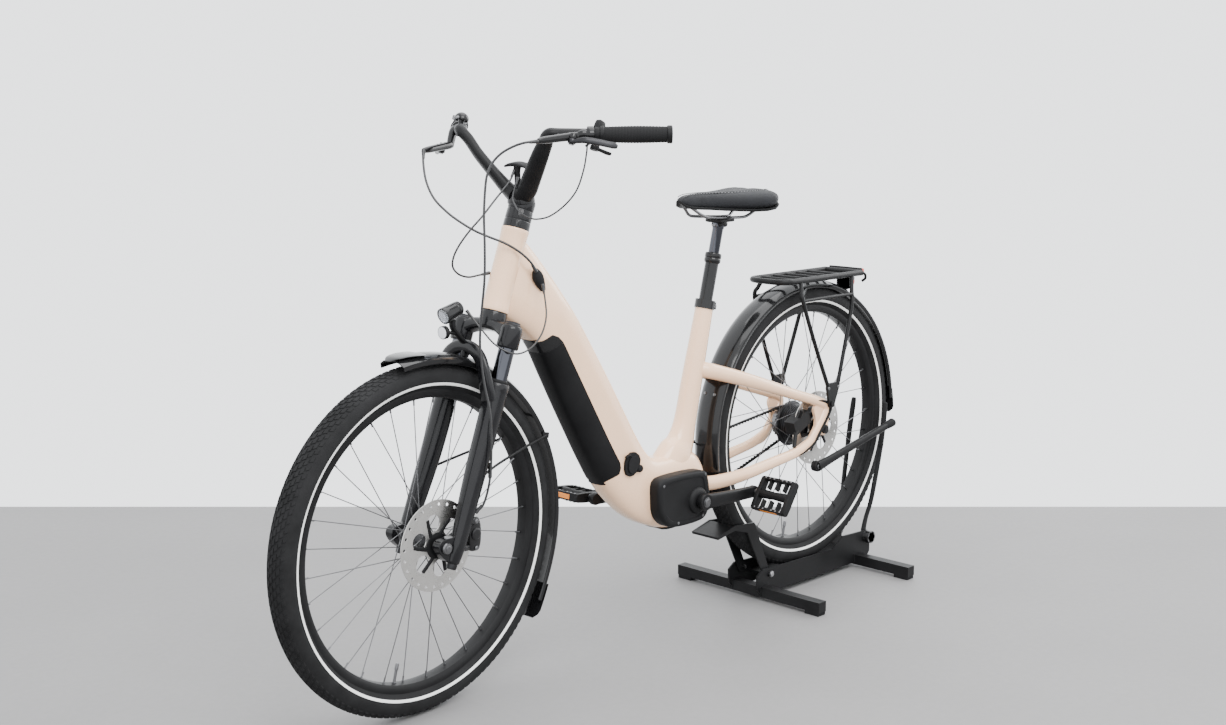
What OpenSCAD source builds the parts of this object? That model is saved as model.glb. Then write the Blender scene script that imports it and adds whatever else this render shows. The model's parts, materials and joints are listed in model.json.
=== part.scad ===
// Step-through electric bicycle held by its rear wheel in a floor stand.
// Millimetres. +X is forward, +Y is the rider's left and +Z is up. The floor is Z = 0.
// Front pieces are drawn in the steering frame: its Z runs up the steering axis and its X forward.

/* [Wheels] */
// Outer radius of both tyres
tyre_r = 348; // [345:1:350]
// Width of the tyre section
tyre_w = 58; // [54:1:58]
// Outer radius of the rims
rim_r = 303; // [302:1:304]
// Radius of both brake rotors
rotor_r = 90; // [80:1:90]
// Number of spokes in each wheel
spoke_count = 32; // [24:8:36]

/* [Layout] */
// Distance between the two axles
wheelbase = 1197; // [1190:1:1200]
// Height that the stand lifts the rear tyre
stand_lift = 46.7; // [46:0.1:48]
// Angle of the steering axis from the floor, in degrees
head_angle = 70; // [69:0.5:71]
// Offset of the front axle ahead of the steering axis
fork_rake = 46; // [44:1:48]
// Turn of the handlebar to the left at rest, in degrees
rest_steer = 2.8; // [0:0.1:4]

/* [Drive] */
// Length of each crank arm
crank_len = 170; // [165:1:172]
// Teeth on the front belt sprocket
front_teeth = 46; // [44:1:48]
// Teeth on the rear belt sprocket
rear_teeth = 22; // [20:1:24]
// Pitch of the belt's teeth
belt_pitch = 11; // [10.5:0.5:11]

/* [Frame] */
// Outside diameter of the head tube
head_tube_d = 55; // [54:1:57]
// Width of the down tube
down_tube_w = 76; // [74:1:80]
// Diameter of the fixed part of the seat post
post_d = 31; // [30:1:32]
// Width of the fenders
fender_w = 68; // [66:1:70]

/* [Stand] */
// Side of the square floor tubes
stand_tube = 27; // [25:1:30]
// Length of the front floor tube
stand_front_len = 440; // [400:10:450]
// Length of the rear floor tube
stand_rear_len = 420; // [380:10:440]

/* [Hidden] */
$fn = 48;
HULL_FN = 24;
RUN_FIT = 0.05;

rear_axle = [-590, 0, tyre_r + stand_lift];
front_axle = [rear_axle[0] + wheelbase, 0, tyre_r];
rake_dir = [sin(head_angle), 0, cos(head_angle)];
steer_origin = front_axle - fork_rake * rake_dir;
crank_centre = [-135, 0, 300];
crank_tilt = 2.3;
rim_w = 34;
tyre_wall = 4;
tyre_centre_r = tyre_r - tyre_w / 2;

// --- shared shapes ---

// Round bar from p to q
module rod(p, q, r1, r2 = -1) {
    d = q - p;
    len = norm(d);
    translate(p)
        rotate([0, acos(d[2] / len), atan2(d[1], d[0])])
            cylinder(h = len, r1 = r1, r2 = r2 < 0 ? r1 : r2);
}

// Bent tube through a list of points, with mitred corners
module bent_rod(points, r) swept_tube(points, r, 12);

// Plate in the side plane, from y0 to y1
module side_plate(outline, y0, y1) {
    translate([0, y1, 0])
        rotate([90, 0, 0])
            linear_extrude(y1 - y0) polygon(outline);
}

// Disc or cylinder across the bicycle
module cross_cylinder(centre, r, y0, y1) {
    translate([centre[0], y1, centre[2]])
        rotate([90, 0, 0]) cylinder(h = y1 - y0, r = r);
}

// Both sides of a mirrored piece
module both_sides() {
    children();
    mirror([0, 1, 0]) children();
}

// The steering frame, turned by the rest angle
module steering() {
    translate(steer_origin)
        rotate([0, head_angle - 90, 0])
            rotate([0, 0, rest_steer]) children();
}

// Tube swept along a route as one closed mesh; r is one radius or one for each point
module swept_tube(route, r, sides = 8) {
    n = len(route);
    function unit(v) = v / norm(v);
    function radius(i) = is_list(r) ? r[i] : r;
    function ahead(i) = unit(route[min(i + 1, n - 1)] - route[max(i - 1, 0)]);
    function across(u, t) = unit(u - (u * t) * t);
    first = across(abs(ahead(0)[1]) < 0.8 ? [0, 1, 0] : [0, 0, 1], ahead(0));
    sides_of = [for (i = 0, u = first; i < n; i = i + 1, u = i < n ? across(u, ahead(i)) : u) u];
    rings = [for (i = [0 : n - 1]) let (u = sides_of[i], v = cross(ahead(i), u))
        for (k = [0 : sides - 1])
            route[i] + radius(i) * (cos(360 * k / sides) * u + sin(360 * k / sides) * v)];
    walls = [for (i = [0 : n - 2]) for (k = [0 : sides - 1])
        [i * sides + k, (i + 1) * sides + k,
         (i + 1) * sides + (k + 1) % sides, i * sides + (k + 1) % sides]];
    start_cap = [for (k = [0 : sides - 1]) k];
    end_cap = [for (k = [0 : sides - 1]) n * sides - 1 - k];
    polyhedron(rings, concat([start_cap], walls, [end_cap]), convexity = 6);
}

// Smooth route through hand-chosen points
function spline_point(p, i, t) =
    let (n = len(p), a = p[max(i - 1, 0)], b = p[i], c = p[i + 1], d = p[min(i + 2, n - 1)])
    0.5 * (2 * b + (c - a) * t + (2 * a - 5 * b + 4 * c - d) * t * t
        + (3 * b - a - 3 * c + d) * t * t * t);
function smooth_route(p, steps = 3) = concat(
    [for (i = [0 : len(p) - 2]) for (k = [0 : steps - 1]) spline_point(p, i, k / steps)],
    [p[len(p) - 1]]);

// --- wheels, drawn about the Y axis at the origin ---

module at_rear_axle() translate(rear_axle) children();
module at_front_axle() steering() translate([fork_rake, 0, 0]) children();
module wheel_turned() rotate([90, 0, 0]) rotate_extrude($fn = 96) children();

module tyre() color("#1c1c1d") wheel_turned() difference() {
    translate([tyre_centre_r, 0]) circle(r = tyre_w / 2);
    translate([tyre_centre_r, 0]) circle(r = tyre_w / 2 - tyre_wall);
    translate([rim_r - 30, -rim_w / 2]) square([30 + 3, rim_w]);
}

module rim() color("#19191a") wheel_turned() difference() {
    translate([rim_r - 22, -rim_w / 2 + 0.5]) square([22, rim_w - 1]);
    translate([rim_r - 7, -rim_w / 2 + 3]) square([12, rim_w - 6]);
    translate([rim_r - 19, -rim_w / 2 + 4]) square([9, rim_w - 8]);
}

module spokes(flange_r, flange_y, lead) color("#303032")
    for (i = [0 : spoke_count - 1]) {
        side = i % 2 == 0 ? 1 : -1;
        turn = 360 * i / spoke_count;
        pull = (floor(i / 2) % 2 == 0 ? 1 : -1) * lead;
        y_in = side * (flange_y + (pull > 0 ? 1.5 : -1.5));
        rod([flange_r * cos(turn + pull), y_in, flange_r * sin(turn + pull)],
            [(rim_r - 20) * cos(turn), side * 3, (rim_r - 20) * sin(turn)], 1);
    }

module rotor(y) color("#9b9a97") translate([0, y + 0.9, 0]) rotate([90, 0, 0])
    linear_extrude(1.8) difference() {
        circle(r = rotor_r, $fn = 72);
        circle(r = 22);
        for (i = [0 : 5]) rotate(i * 60) translate([46, 0]) circle(r = 17);
        for (i = [0 : 23]) rotate(i * 15) translate([rotor_r - 9, 0]) circle(r = 3.2, $fn = 16);
    }

rear_flange_r = 56;
rear_flange_y = 26;
freewheel_r = 16;
module rear_tyre() at_rear_axle() tyre();
module rear_rim() at_rear_axle() rim();
module rear_spokes() at_rear_axle() spokes(rear_flange_r - 4, rear_flange_y, 62);
rotor_y = 50;
axle_r = 6;
module rear_hub() color("#202022") at_rear_axle() difference() {
    union() {
        cross_cylinder([0, 0, 0], 50, -34, 34);
        cross_cylinder([0, 0, 0], rear_flange_r, -rear_flange_y - 5, -rear_flange_y + 5);
        cross_cylinder([0, 0, 0], rear_flange_r, rear_flange_y - 5, rear_flange_y + 5);
        cross_cylinder([0, 0, 0], 40, 34, 42);
        cross_cylinder([0, 0, 0], 21.5, 42, rotor_y + 1.5);
        cross_cylinder([0, 0, 0], 17, rotor_y + 1.5, 58.5);
        cross_cylinder([0, 0, 0], freewheel_r, -58.5, -34);
    }
    cross_cylinder([0, 0, 0], axle_r + RUN_FIT, -80, 80);
}
module rear_rotor() at_rear_axle() rotor(rotor_y);

front_flange_r = 22;
front_flange_y = 28;
module front_tyre() at_front_axle() tyre();
module front_rim() at_front_axle() rim();
module front_spokes() at_front_axle() spokes(front_flange_r - 3, front_flange_y, 78);
module front_hub() color("#1f1f21") at_front_axle() difference() {
    union() {
        cross_cylinder([0, 0, 0], 12, -46, 48);
        cross_cylinder([0, 0, 0], front_flange_r, -front_flange_y - 3.5, -front_flange_y + 3.5);
        cross_cylinder([0, 0, 0], front_flange_r, front_flange_y - 3.5, front_flange_y + 3.5);
        cross_cylinder([0, 0, 0], 21.5, 36, rotor_y + 1.5);
        cross_cylinder([0, 0, 0], 13, rotor_y + 1.5, 54);
    }
    cross_cylinder([0, 0, 0], axle_r + RUN_FIT, -80, 80);
}
module front_rotor() at_front_axle() rotor(rotor_y);

// --- fenders: a shallow channel swept round the axle ---

module fender_section(crown_r, edge_r, wall) {
    half = fender_w / 2;
    shoulder = half - 9;
    polygon([
        [edge_r, -half], [crown_r - 5, -shoulder], [crown_r, -12], [crown_r, 12],
        [crown_r - 5, shoulder], [edge_r, half], [edge_r, half - wall],
        [crown_r - 5 - wall, shoulder - wall], [crown_r - wall, 12], [crown_r - wall, -12],
        [crown_r - 5 - wall, wall - shoulder], [edge_r, wall - half]
    ]);
}

// Channel from angle a0 to a1, counted from +X towards +Z
module fender_arc(crown_r, a0, a1) {
    rotate([90, -a0, 0])
        rotate_extrude(angle = a1 - a0, $fn = 96)
            fender_section(crown_r, crown_r - 18, 2);
}

module rear_fender() color("#161617") {
    translate(rear_axle) {
        fender_arc(360, -9, 174);
        rotate([0, -178, 0])
            translate([354, -fender_w / 2, -24])
                rotate([0, 4, 0]) cube([3, fender_w, 40]);
    }
    both_sides() rod([-560, 34, 736], [-507, 70, 712], 4);
}

// --- bicycle frame ---

head_top_s = 639;
head_low_s = 470;
function steer_to_world(s) = steer_origin + s * [-cos(head_angle), 0, sin(head_angle)];
seat_dir = [-0.245, 0, 0.9695];
seat_top = [-230, 0, 726];
bay_w = down_tube_w - 14;

// Side outline of the down tube and the motor shell below it
shell_outline = [
    [322, 900], [300, 868], [190, 716], [92, 568], [14, 440], [-30, 408], [-90, 402], [-160, 408],
    [-196, 385], [-206, 330], [-190, 270], [-150, 240], [-95, 234], [-40, 244],
    [46, 292], [96, 356], [152, 440], [222, 566], [292, 690], [330, 735], [388, 784], [370, 850]
];
// The same outline along the middle of the rounded tube, where it is deepest
ridge_outline = [
    [320, 915], [196, 750], [98, 600], [8, 455], [-30, 412], [40, 380], [96, 352],
    [161, 431], [236, 565], [306, 696], [330, 725], [392, 775], [350, 900]
];
// Side outline of the battery's bay, which opens forward and down
bay_outline = [
    [340, 692], [270, 722], [70, 400], [100, 350], [130, 346], [250, 550]
];
battery_outline = [
    [292, 690], [270, 714], [73, 399], [96, 360], [108, 368], [152, 440], [222, 566]
];
battery_ridge = [
    [312, 702], [276, 712], [78, 396], [100, 357], [112, 366], [161, 431], [236, 565]
];
motor_y = 60;
motor_right_y = -43;
ridge_w = 34;

module front_frame() color("#ead6c4") difference() {
    union() {
        rod(steer_to_world(head_low_s), steer_to_world(head_top_s), head_tube_d / 2);
        difference() {
            side_plate(shell_outline, -down_tube_w / 2, down_tube_w / 2);
            both_sides() side_plate([[250, 1000], [240, 820], [330, 720], [420, 700], [420, 1000]],
                head_tube_d / 2 - 2, down_tube_w);
        }
        side_plate(ridge_outline, -ridge_w / 2, ridge_w / 2);
    }
    rod(steer_to_world(head_low_s - 5), steer_to_world(head_top_s + 5), 22);
    side_plate(bay_outline, -down_tube_w, down_tube_w);
    side_plate([[274, 808], [186, 683], [94, 541], [20, 428], [60, 405], [262, 736], [320, 780]],
        -bay_w / 2, bay_w / 2);
    side_plate([[-30, 398], [-160, 398], [-190, 375], [-196, 330], [-182, 276], [-146, 250],
        [-95, 244], [-44, 253], [28, 293], [50, 340], [20, 390]], -bay_w / 2, bay_w / 2);
    cross_cylinder(crank_centre, 50, -down_tube_w, down_tube_w);
}

module seat_tube() color("#ead6c4") difference() {
    union() {
        rod(seat_top - 331 * seat_dir, seat_top, 25, 20);
        rod([-197, 0, 584], [-225, 24, 576], 16);
        rod([-197, 0, 584], [-225, -24, 576], 16);
    }
    rod(seat_top - 310 * seat_dir, seat_top + 10 * seat_dir, post_d / 2 + RUN_FIT);
}

module seat_clamp() color("#1b1b1c") difference() {
    union() {
        rod(seat_top - 8 * seat_dir, seat_top + 12 * seat_dir, 23);
        translate(seat_top + [-24, 0, -4]) cube([14, 16, 16], center = true);
    }
    rod(seat_top - 9 * seat_dir, seat_top, 20 + RUN_FIT);
    rod(seat_top - 12 * seat_dir, seat_top + 14 * seat_dir, post_d / 2 + RUN_FIT);
    translate(seat_top + [-24, 0, -4]) cube([20, 2, 20], center = true);
}

stay_y = 70;
dropout_outline = [
    [-612, 446], [-583, 441], [-556, 400], [-540, 381], [-507, 364], [-498, 345],
    [-545, 349], [-574, 368], [-598, 372], [-608, 388], [-604, 410]
];
module one_stay() {
    swept_tube([[-222, 29, 577], [-330, 58, 545], [-470, 67, 498], [-588, stay_y, 462], [-600, stay_y, 450],
        [-594, stay_y, 438], [-556, stay_y, 386], [-540, stay_y, 371], [-505, stay_y, 358], [-478, stay_y, 350]],
        [18, 15, 13, 11, 11, 11, 11, 11, 11, 8], 12);
    swept_tube([[-234, 42, 318], [-300, 60, 328], [-505, stay_y, 354]], [15, 13, 11], 12);
    rod([-236, 36, 318], [-196, 25, 322], 11);
    side_plate(dropout_outline, stay_y - 5, stay_y + 5);
}
module rear_triangle() color("#ead6c4") difference() {
    union() {
        both_sides() one_stay();
        rod([-222, -30, 320], [-222, 30, 320], 11);
        side_plate([[-562, 356], [-520, 356], [-530, 298], [-560, 298]], stay_y, stay_y + 10);
        cross_cylinder(rear_axle, 15, stay_y - 6, stay_y + 6);
        cross_cylinder(rear_axle, 15, -stay_y - 6, -stay_y + 6);
    }
    side_plate(shell_outline, -down_tube_w / 2, down_tube_w / 2);
    cross_cylinder(rear_axle, axle_r + RUN_FIT, -100, 100);
}

// Rear brake caliper with its two lugs, and the rear wheel's through axle with its end nuts
module rear_caliper() color("#1d1d1e") {
    cross_cylinder(rear_axle, axle_r, -stay_y - 14, stay_y + 14);
    difference() {
        translate([-516, rotor_y + 2, 420]) rotate([0, 24, 0]) cube([62, 30, 34], center = true);
        translate(rear_axle + [0, rotor_y, 0]) rotate([90, 0, 0])
            cylinder(h = 5, r = rotor_r + 4, center = true);
    }
    rod([-508, 62, 432], [-508, 70, 452], 5);
    rod([-498, 62, 405], [-480, 70, 366], 5);
    both_sides() cross_cylinder(rear_axle, 11, stay_y + 6.2, stay_y + 12);
}

module cable_guide() color("#18181a") {
    translate([316, 30.3, 833]) rotate([0, -56, 0]) cube([34, 9.4, 28], center = true);
    translate([322, 37, 840]) sphere(r = 8);
}

module battery_pack() color("#131314") {
    side_plate(battery_outline, -down_tube_w / 2 + 2, down_tube_w / 2 - 2);
    side_plate(battery_ridge, -ridge_w / 2, ridge_w / 2);
}

module charge_cover() color("#141415")
    side_plate([[24, 424], [30, 394], [56, 380], [76, 392], [74, 428], [48, 442]],
        down_tube_w / 2 + 0.3, down_tube_w / 2 + 5);

// --- motor ---

motor_outline = [
    [-172, 352], [-156, 366], [-30, 369], [-12, 362], [-7, 348], [-10, 290], [-34, 258],
    [-70, 249], [-152, 249], [-172, 262], [-179, 300]
];
module motor_unit() color("#242426") difference() {
    union() {
        cross_cylinder(crank_centre, 49.5, motor_right_y, motor_y);
        side_plate([[-168, 356], [-30, 360], [-12, 340], [-20, 290], [-60, 262], [-140, 262], [-172, 300]],
            -bay_w / 2 + 1, bay_w / 2 - 1);
    }
    cross_cylinder(crank_centre, 12 + RUN_FIT, -motor_y - 20, motor_y + 20);
}
module motor_covers() color("#17171a") difference() {
    union() {
        side_plate(motor_outline, down_tube_w / 2 + 0.4, motor_y + 9);
        side_plate(motor_outline, motor_right_y - 1, -down_tube_w / 2 - 0.4);
    }
    cross_cylinder(crank_centre, 50, -motor_y, motor_y);
    cross_cylinder(crank_centre, 22, -motor_y - 20, motor_y + 20);
}

// --- drive ---

front_sprocket_r = front_teeth * belt_pitch / (2 * PI);
rear_sprocket_r = rear_teeth * belt_pitch / (2 * PI);
belt_y = -52;
belt_w = 8;
crank_dir = [cos(crank_tilt), 0, sin(crank_tilt)];
left_pedal_axle = crank_centre - crank_len * crank_dir;
right_pedal_axle = crank_centre + crank_len * crank_dir;
crank_in = 82;
crank_out = 96;

module crank_arm(end, y0, y1) {
    difference() {
        union() {
            cross_cylinder(crank_centre, 19, y0, y1);
            cross_cylinder(end, 14, y0, y1);
            rod([crank_centre[0], (y0 + y1) / 2, crank_centre[2]],
                [end[0], (y0 + y1) / 2, end[2]], 12, 9);
        }
        cross_cylinder(end, 7 + RUN_FIT, y0 - 6, y1 + 6);
    }
}
module crank_arms() color("#1d1d1f") {
    crank_arm(left_pedal_axle, crank_in, crank_out);
    crank_arm(right_pedal_axle, -crank_out, -crank_in);
    cross_cylinder(crank_centre, 12, -crank_in - 1, crank_in + 1);
}
module toothed_disc(teeth, r, y0, y1) {
    cross_cylinder([0, 0, 0], r - 3, y0, y1);
    for (i = [0 : teeth - 1]) rotate([0, 360 * i / teeth, 0])
        translate([r - 4, y0, -2]) cube([3.4, y1 - y0, 4]);
}
module front_sprocket() color("#1b1b1d") translate(crank_centre) difference() {
    toothed_disc(front_teeth, front_sprocket_r, belt_y - 6, belt_y + 6);
    for (i = [0 : 4]) rotate([0, 72 * i, 0]) cross_cylinder([50, 0, 0], 17, belt_y - 8, belt_y + 8);
    cross_cylinder([0, 0, 0], 12 + RUN_FIT, belt_y - 8, belt_y + 8);
}
module rear_sprocket() color("#202023") at_rear_axle() difference() {
    toothed_disc(rear_teeth, rear_sprocket_r, belt_y - 5, belt_y + 5);
    cross_cylinder([0, 0, 0], freewheel_r + RUN_FIT, belt_y - 8, belt_y + 8);
}
// Loop of the belt in its own plane, grown by a wall of w
module belt_loop(w) {
    reach = rear_axle - crank_centre;
    span = norm(reach);
    tilt = atan2(reach[2], reach[0]);
    lean = asin((front_sprocket_r - rear_sprocket_r) / span);
    a = front_sprocket_r + w;
    b = rear_sprocket_r + w;
    rotate(tilt) {
        circle(r = a, $fn = 72);
        translate([span, 0]) circle(r = b);
        polygon([
            [a * sin(lean), a * cos(lean)], [span + b * sin(lean), b * cos(lean)],
            [span + b * sin(lean), -b * cos(lean)], [a * sin(lean), -a * cos(lean)]
        ]);
    }
}
module drive_belt() color("#141416")
    translate([crank_centre[0], belt_y + belt_w / 2, crank_centre[2]]) rotate([90, 0, 0])
        linear_extrude(belt_w) difference() {
            belt_loop(3.2);
            belt_loop(0.5);
        }

pedal_w = 96;
pedal_l = 84;
pedal_t = 22;
module pedal(axle, side, tilt) color("#1a1a1b") {
    y0 = side * (crank_out + 8);
    translate([axle[0], y0 + side * pedal_w / 2, axle[2]]) rotate([0, tilt, 0]) difference() {
        union() {
            cube([pedal_l, pedal_w, pedal_t], center = true);
            translate([0, -side * (pedal_w / 2 + 2.4), 0]) rotate([90, 0, 0])
                cylinder(h = 5.2, r = 9, center = true);
        }
        for (x = [-1, 1]) translate([x * 23, 0, 0]) cube([20, pedal_w - 24, pedal_t + 2], center = true);
    }
    cross_cylinder(axle, 7, min(side * (crank_in + 1), y0 + side), max(side * (crank_in + 1), y0 + side));
}
module left_pedal() pedal(left_pedal_axle, 1, 56);
module right_pedal() pedal(right_pedal_axle, -1, -6);

// --- rack, light and kickstand ---

deck_z = 762;
deck_front_x = -450;
deck_rear_x = -758;
deck_half = 56;
rack_foot = [-606, 84, 456];
module rack_side() {
    bent_rod([[-512, deck_half, deck_z], [-493, 74, 713], rack_foot + [14, 0, 46]], 5);
    bent_rod([[-716, deck_half, deck_z], [-690, 74, 690], rack_foot + [-24, 0, 46]], 5);
    side_plate([[-638, 506], [-584, 506], [-600, 446], [-612, 446]], 81, 86);
    rod(rack_foot - [0, 8, 0], rack_foot + [0, 6, 0], 5);
    rod([-500, 71, 718], [-694, 71, 716], 4);
}
module rear_rack() color("#121213") {
    both_sides() rack_side();
    bent_rod([
        [deck_rear_x, -deck_half, deck_z], [deck_front_x - 28, -deck_half, deck_z],
        [deck_front_x - 6, 16 - deck_half, deck_z], [deck_front_x, 0, deck_z],
        [deck_front_x - 6, deck_half - 16, deck_z], [deck_front_x - 28, deck_half, deck_z],
        [deck_rear_x, deck_half, deck_z]
    ], 7);
    for (x = [-500, -590, -680])
        rod([x, -deck_half, deck_z], [x, deck_half, deck_z], 5);
    rod([deck_rear_x, -deck_half, deck_z], [deck_rear_x, deck_half, deck_z], 7);
    translate([deck_rear_x - 8, 0, deck_z - 20]) cube([4, 50, 46], center = true);
}
module rack_light() color("#b3221d") {
    translate([deck_rear_x - 16, 0, deck_z + 2]) cube([12, 96, 14], center = true);
    translate([deck_rear_x - 17, 0, deck_z - 26]) rotate([0, 90, 0])
        cylinder(h = 13, r = 20, center = true);
}

kick_pivot = [-545, 86, 312];
kick_dir = [-0.955, 0.085, 0.25];
module kickstand() color("#151516") {
    rod(kick_pivot + [0, -5, 0], kick_pivot + [0, 10, 0], 13);
    rod(kick_pivot + [0, 6, 0], kick_pivot + [0, 6, 0] + 285 * kick_dir, 9, 8);
    translate(kick_pivot + [0, 6, 0] + 285 * kick_dir) sphere(r = 11);
}

// --- seat ---

post_top = seat_top + 120 * seat_dir;
rail_y = 22;
seat_head = [-280, 0, 914];
module post_outer() color("#151516") difference() {
    union() {
        rod(seat_top - 170 * seat_dir, post_top, post_d / 2);
        rod(post_top - 22 * seat_dir, post_top, 19);
    }
    rod(seat_top - 180 * seat_dir, post_top + 5 * seat_dir, 12.5 + RUN_FIT);
}
module post_inner() color("#2a2a2c") {
    rod(post_top - 120 * seat_dir, post_top + 68 * seat_dir, 12.5);
    translate(seat_head) cube([46, 52, 20], center = true);
}
module saddle_rails() color("#4b4b4e")
    both_sides() difference() {
        bent_rod([[-158, 10, 952], [-196, rail_y, 928], [-325, rail_y, 920], [-372, 34, 940]], 3.5);
        translate(seat_head) cube([46.2, 52.2, 20.2], center = true);
    }
module saddle() color("#222224") hull() {
    for (y = [-1, 1]) {
        translate([-150, y * 9, 971]) sphere(r = 13, $fn = HULL_FN);
        translate([-250, y * 42, 966]) sphere(r = 20, $fn = HULL_FN);
        translate([-345, y * 72, 957]) sphere(r = 24, $fn = HULL_FN);
        translate([-385, y * 52, 965]) sphere(r = 24, $fn = HULL_FN);
    }
}

// --- fork, in the steering frame ---

leg_x = 8;
leg_y = 66;
seal_s = 329;
module fork_crown() color("#131314") steering() difference() {
    union() {
        rod([0, 0, 440], [0, 0, 640], 15);
        rod([0, 0, 438], [0, 0, 464], 27);
        both_sides() {
            rod([leg_x, leg_y, 402], [leg_x, leg_y, 446], 22);
            rod([2, 14, 436], [leg_x, leg_y, 424], 19);
        }
        translate([2, 0, 434]) cube([40, 60, 26], center = true);
    }
    both_sides() rod([leg_x, leg_y, 400], [leg_x, leg_y, 441], 16);
}
module fork_stanchions() color("#3a3a3f") steering()
    both_sides() rod([leg_x, leg_y, 205], [leg_x, leg_y, 441], 16);
module fork_leg() {
    rod([leg_x, leg_y, 140], [leg_x, leg_y, seal_s], 22);
    swept_tube([[15.6, leg_y + 10, -26], [leg_x, leg_y, 146]], [14.5, 20.5], 24);
    side_plate([[12, -22], [36, -22], [62, -12], [64, 8], [50, 18], [12, 46]], leg_y - 2, leg_y + 12);
}
module fork_lowers() color("#1a1a1e") steering() difference() {
    union() {
        both_sides() fork_leg();
        swept_tube([
            [16, leg_y - 1, 300], [34, leg_y - 4, 312], [46, leg_y - 14, 350], [52, 30, 384],
            [52, -30, 384], [46, 14 - leg_y, 350], [34, 4 - leg_y, 312], [16, 1 - leg_y, 300]
        ], [11, 10, 10, 10, 10, 10, 10, 11], 12);
    }
    both_sides() rod([leg_x, leg_y, 150], [leg_x, leg_y, seal_s + 5], 16 + RUN_FIT);
    cross_cylinder([fork_rake, 0, 0], axle_r + RUN_FIT, -120, 120);
}
module front_axle() color("#2b2b2d") at_front_axle() {
    cross_cylinder([0, 0, 0], axle_r, -leg_y - 16, leg_y + 16);
    both_sides() cross_cylinder([0, 0, 0], 10, leg_y + 12.2, leg_y + 18);
}
module front_caliper() color("#1d1d1e") steering() difference() {
    union() {
        translate([-34, rotor_y + 3, 32]) rotate([0, 8, 0]) cube([34, 32, 66], center = true);
        rod([-24, 62, 55], [6, 68, 60], 6);
        rod([-24, 62, 10], [6, 70, 6], 6);
    }
    translate([fork_rake, rotor_y, 0]) rotate([90, 0, 0])
        cylinder(h = 5, r = rotor_r + 6, center = true);
}
module front_fender() color("#151516") {
    steering() translate([fork_rake, 0, 0]) rotate([0, 90 - head_angle, 0]) {
        fender_arc(366, 79, 215);
        rotate([0, -214, 0])
            translate([357, -fender_w / 2 - 3, -28]) rotate([0, 8, 0]) cube([3, fender_w + 6, 30]);
        rotate([0, -80, 0]) translate([368, -1.5, 0]) cube([9, 3, 60]);
        both_sides() bent_rod([[-80, 72, 112], [-150, 56, 130], [-318, 34, 164]], 2.5);
    }
    steering() both_sides() rod([leg_x - 14, leg_y + 15, 175], [-24, 76, 150], 4);
    steering() rod([50, 0, 364], [50, 0, 384], 6);
}
light_tilt = 38;
module headlight() color("#151517") steering() {
    translate([112, 0, 441]) rotate([0, light_tilt + 90, 0]) cylinder(h = 46, r1 = 13, r2 = 17, center = true);
    translate([118, 0, 398]) rotate([0, 112, 0]) cylinder(h = 10, r = 13, center = true);
    bent_rod([[58, 0, 392], [86, 0, 404], [104, 0, 424]], 5);
    rod([86, 0, 404], [114, 0, 399], 4);
}

// --- cockpit, in the steering frame ---

bar_base = [22, 28, 709];
bar_bend = [96, 122, 808];
grip_in = [38, 196, 830];
grip_out = [-50, 293, 864];
bar_end_dir = (grip_out - grip_in) / norm(grip_out - grip_in);
clamp_p = bar_bend + 0.82 * (grip_in - bar_bend);

module steering_column() color("#202022") steering() {
    difference() {
        rod([0, 0, head_top_s + 0.4], [0, 0, 700], 27);
        rod([0, 0, head_top_s - 1], [0, 0, 660], 15 + RUN_FIT);
    }
    translate([10, 0, 711]) cube([44, 48, 24], center = true);
}
module handlebar() color("#1a1a1c") steering() {
    both_sides() swept_tube([
        bar_base + [-6, -16, 3], bar_base, bar_bend - [9, 12, 12], bar_bend + [-3, 3, 1], grip_in, grip_out
    ], [15, 15, 12, 11, 11, 11], 16);
}
module grips() color("#161617") steering() both_sides() difference() {
    union() {
        rod(grip_in, grip_out + 3 * bar_end_dir, 16.5);
        rod(grip_in, grip_in + 9 * bar_end_dir, 17.5);
        rod(grip_out - 8 * bar_end_dir, grip_out + 3 * bar_end_dir, 17.5);
    }
    rod(grip_in - 5 * bar_end_dir, grip_out, 11.02);
}
module display() color("#111112") steering() {
    translate([39, 0, 760]) rotate([0, 30, 0]) cube([22, 62, 9], center = true);
    rod([24, 0, 716], [38, 0, 758], 6);
}

lever_rise = 16;
lever_pin_r = 3;
lever_gap = 7;
// Master cylinder from its bar clamp to its hose, moved up or down the bar's front by rise
function cylinder_start(rise) = [70, 172, 800 + rise];
function cylinder_end(rise) = [150, 154, 762 + rise];
function lever_pivot(rise) = [86, 176, 784 + rise];
module brake_body(rise) {
    difference() {
        union() {
            rod(clamp_p - 7 * bar_end_dir, clamp_p + 7 * bar_end_dir, 16);
            rod(clamp_p + [10, -1, -4], cylinder_start(rise), 8.5);
            rod(cylinder_start(rise), cylinder_end(rise), 7.5);
            rod(lever_pivot(rise) + [0, 0, 6], lever_pivot(rise) + [-4, -4, 14], 7);
        }
        rod(lever_pivot(rise) - [0, 0, 6], lever_pivot(rise) + [0, 0, lever_gap], 9);
        rod(lever_pivot(rise), lever_pivot(rise) + [-8, 20, 6], 9);
        rod(clamp_p - 12 * bar_end_dir, clamp_p + 12 * bar_end_dir, 11.02);
    }
    rod(lever_pivot(rise) - [0, 0, 7], lever_pivot(rise) + [0, 0, lever_gap + 3], lever_pin_r);
    rod(lever_pivot(rise) - [0, 0, 7.4], lever_pivot(rise) - [0, 0, 5.4], 5);
}
module brake_lever(rise) {
    p = lever_pivot(rise);
    difference() {
        rod(p - [0, 0, 5], p + [0, 0, 5], 8);
        rod(p - [0, 0, 20], p + [0, 0, 20], lever_pin_r + RUN_FIT);
    }
    swept_tube([p + [-2.4, 6, 1], p + [-8, 20, 5], p + [-26, 42, 8], p + [-44, 62, 10], p + [-50, 67, 8]],
        [4, 5, 4.6, 5, 4], 10);
}
module brake_bodies() color("#1c1c1e") steering() {
    brake_body(lever_rise);
    mirror([0, 1, 0]) brake_body(-lever_rise);
}
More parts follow.
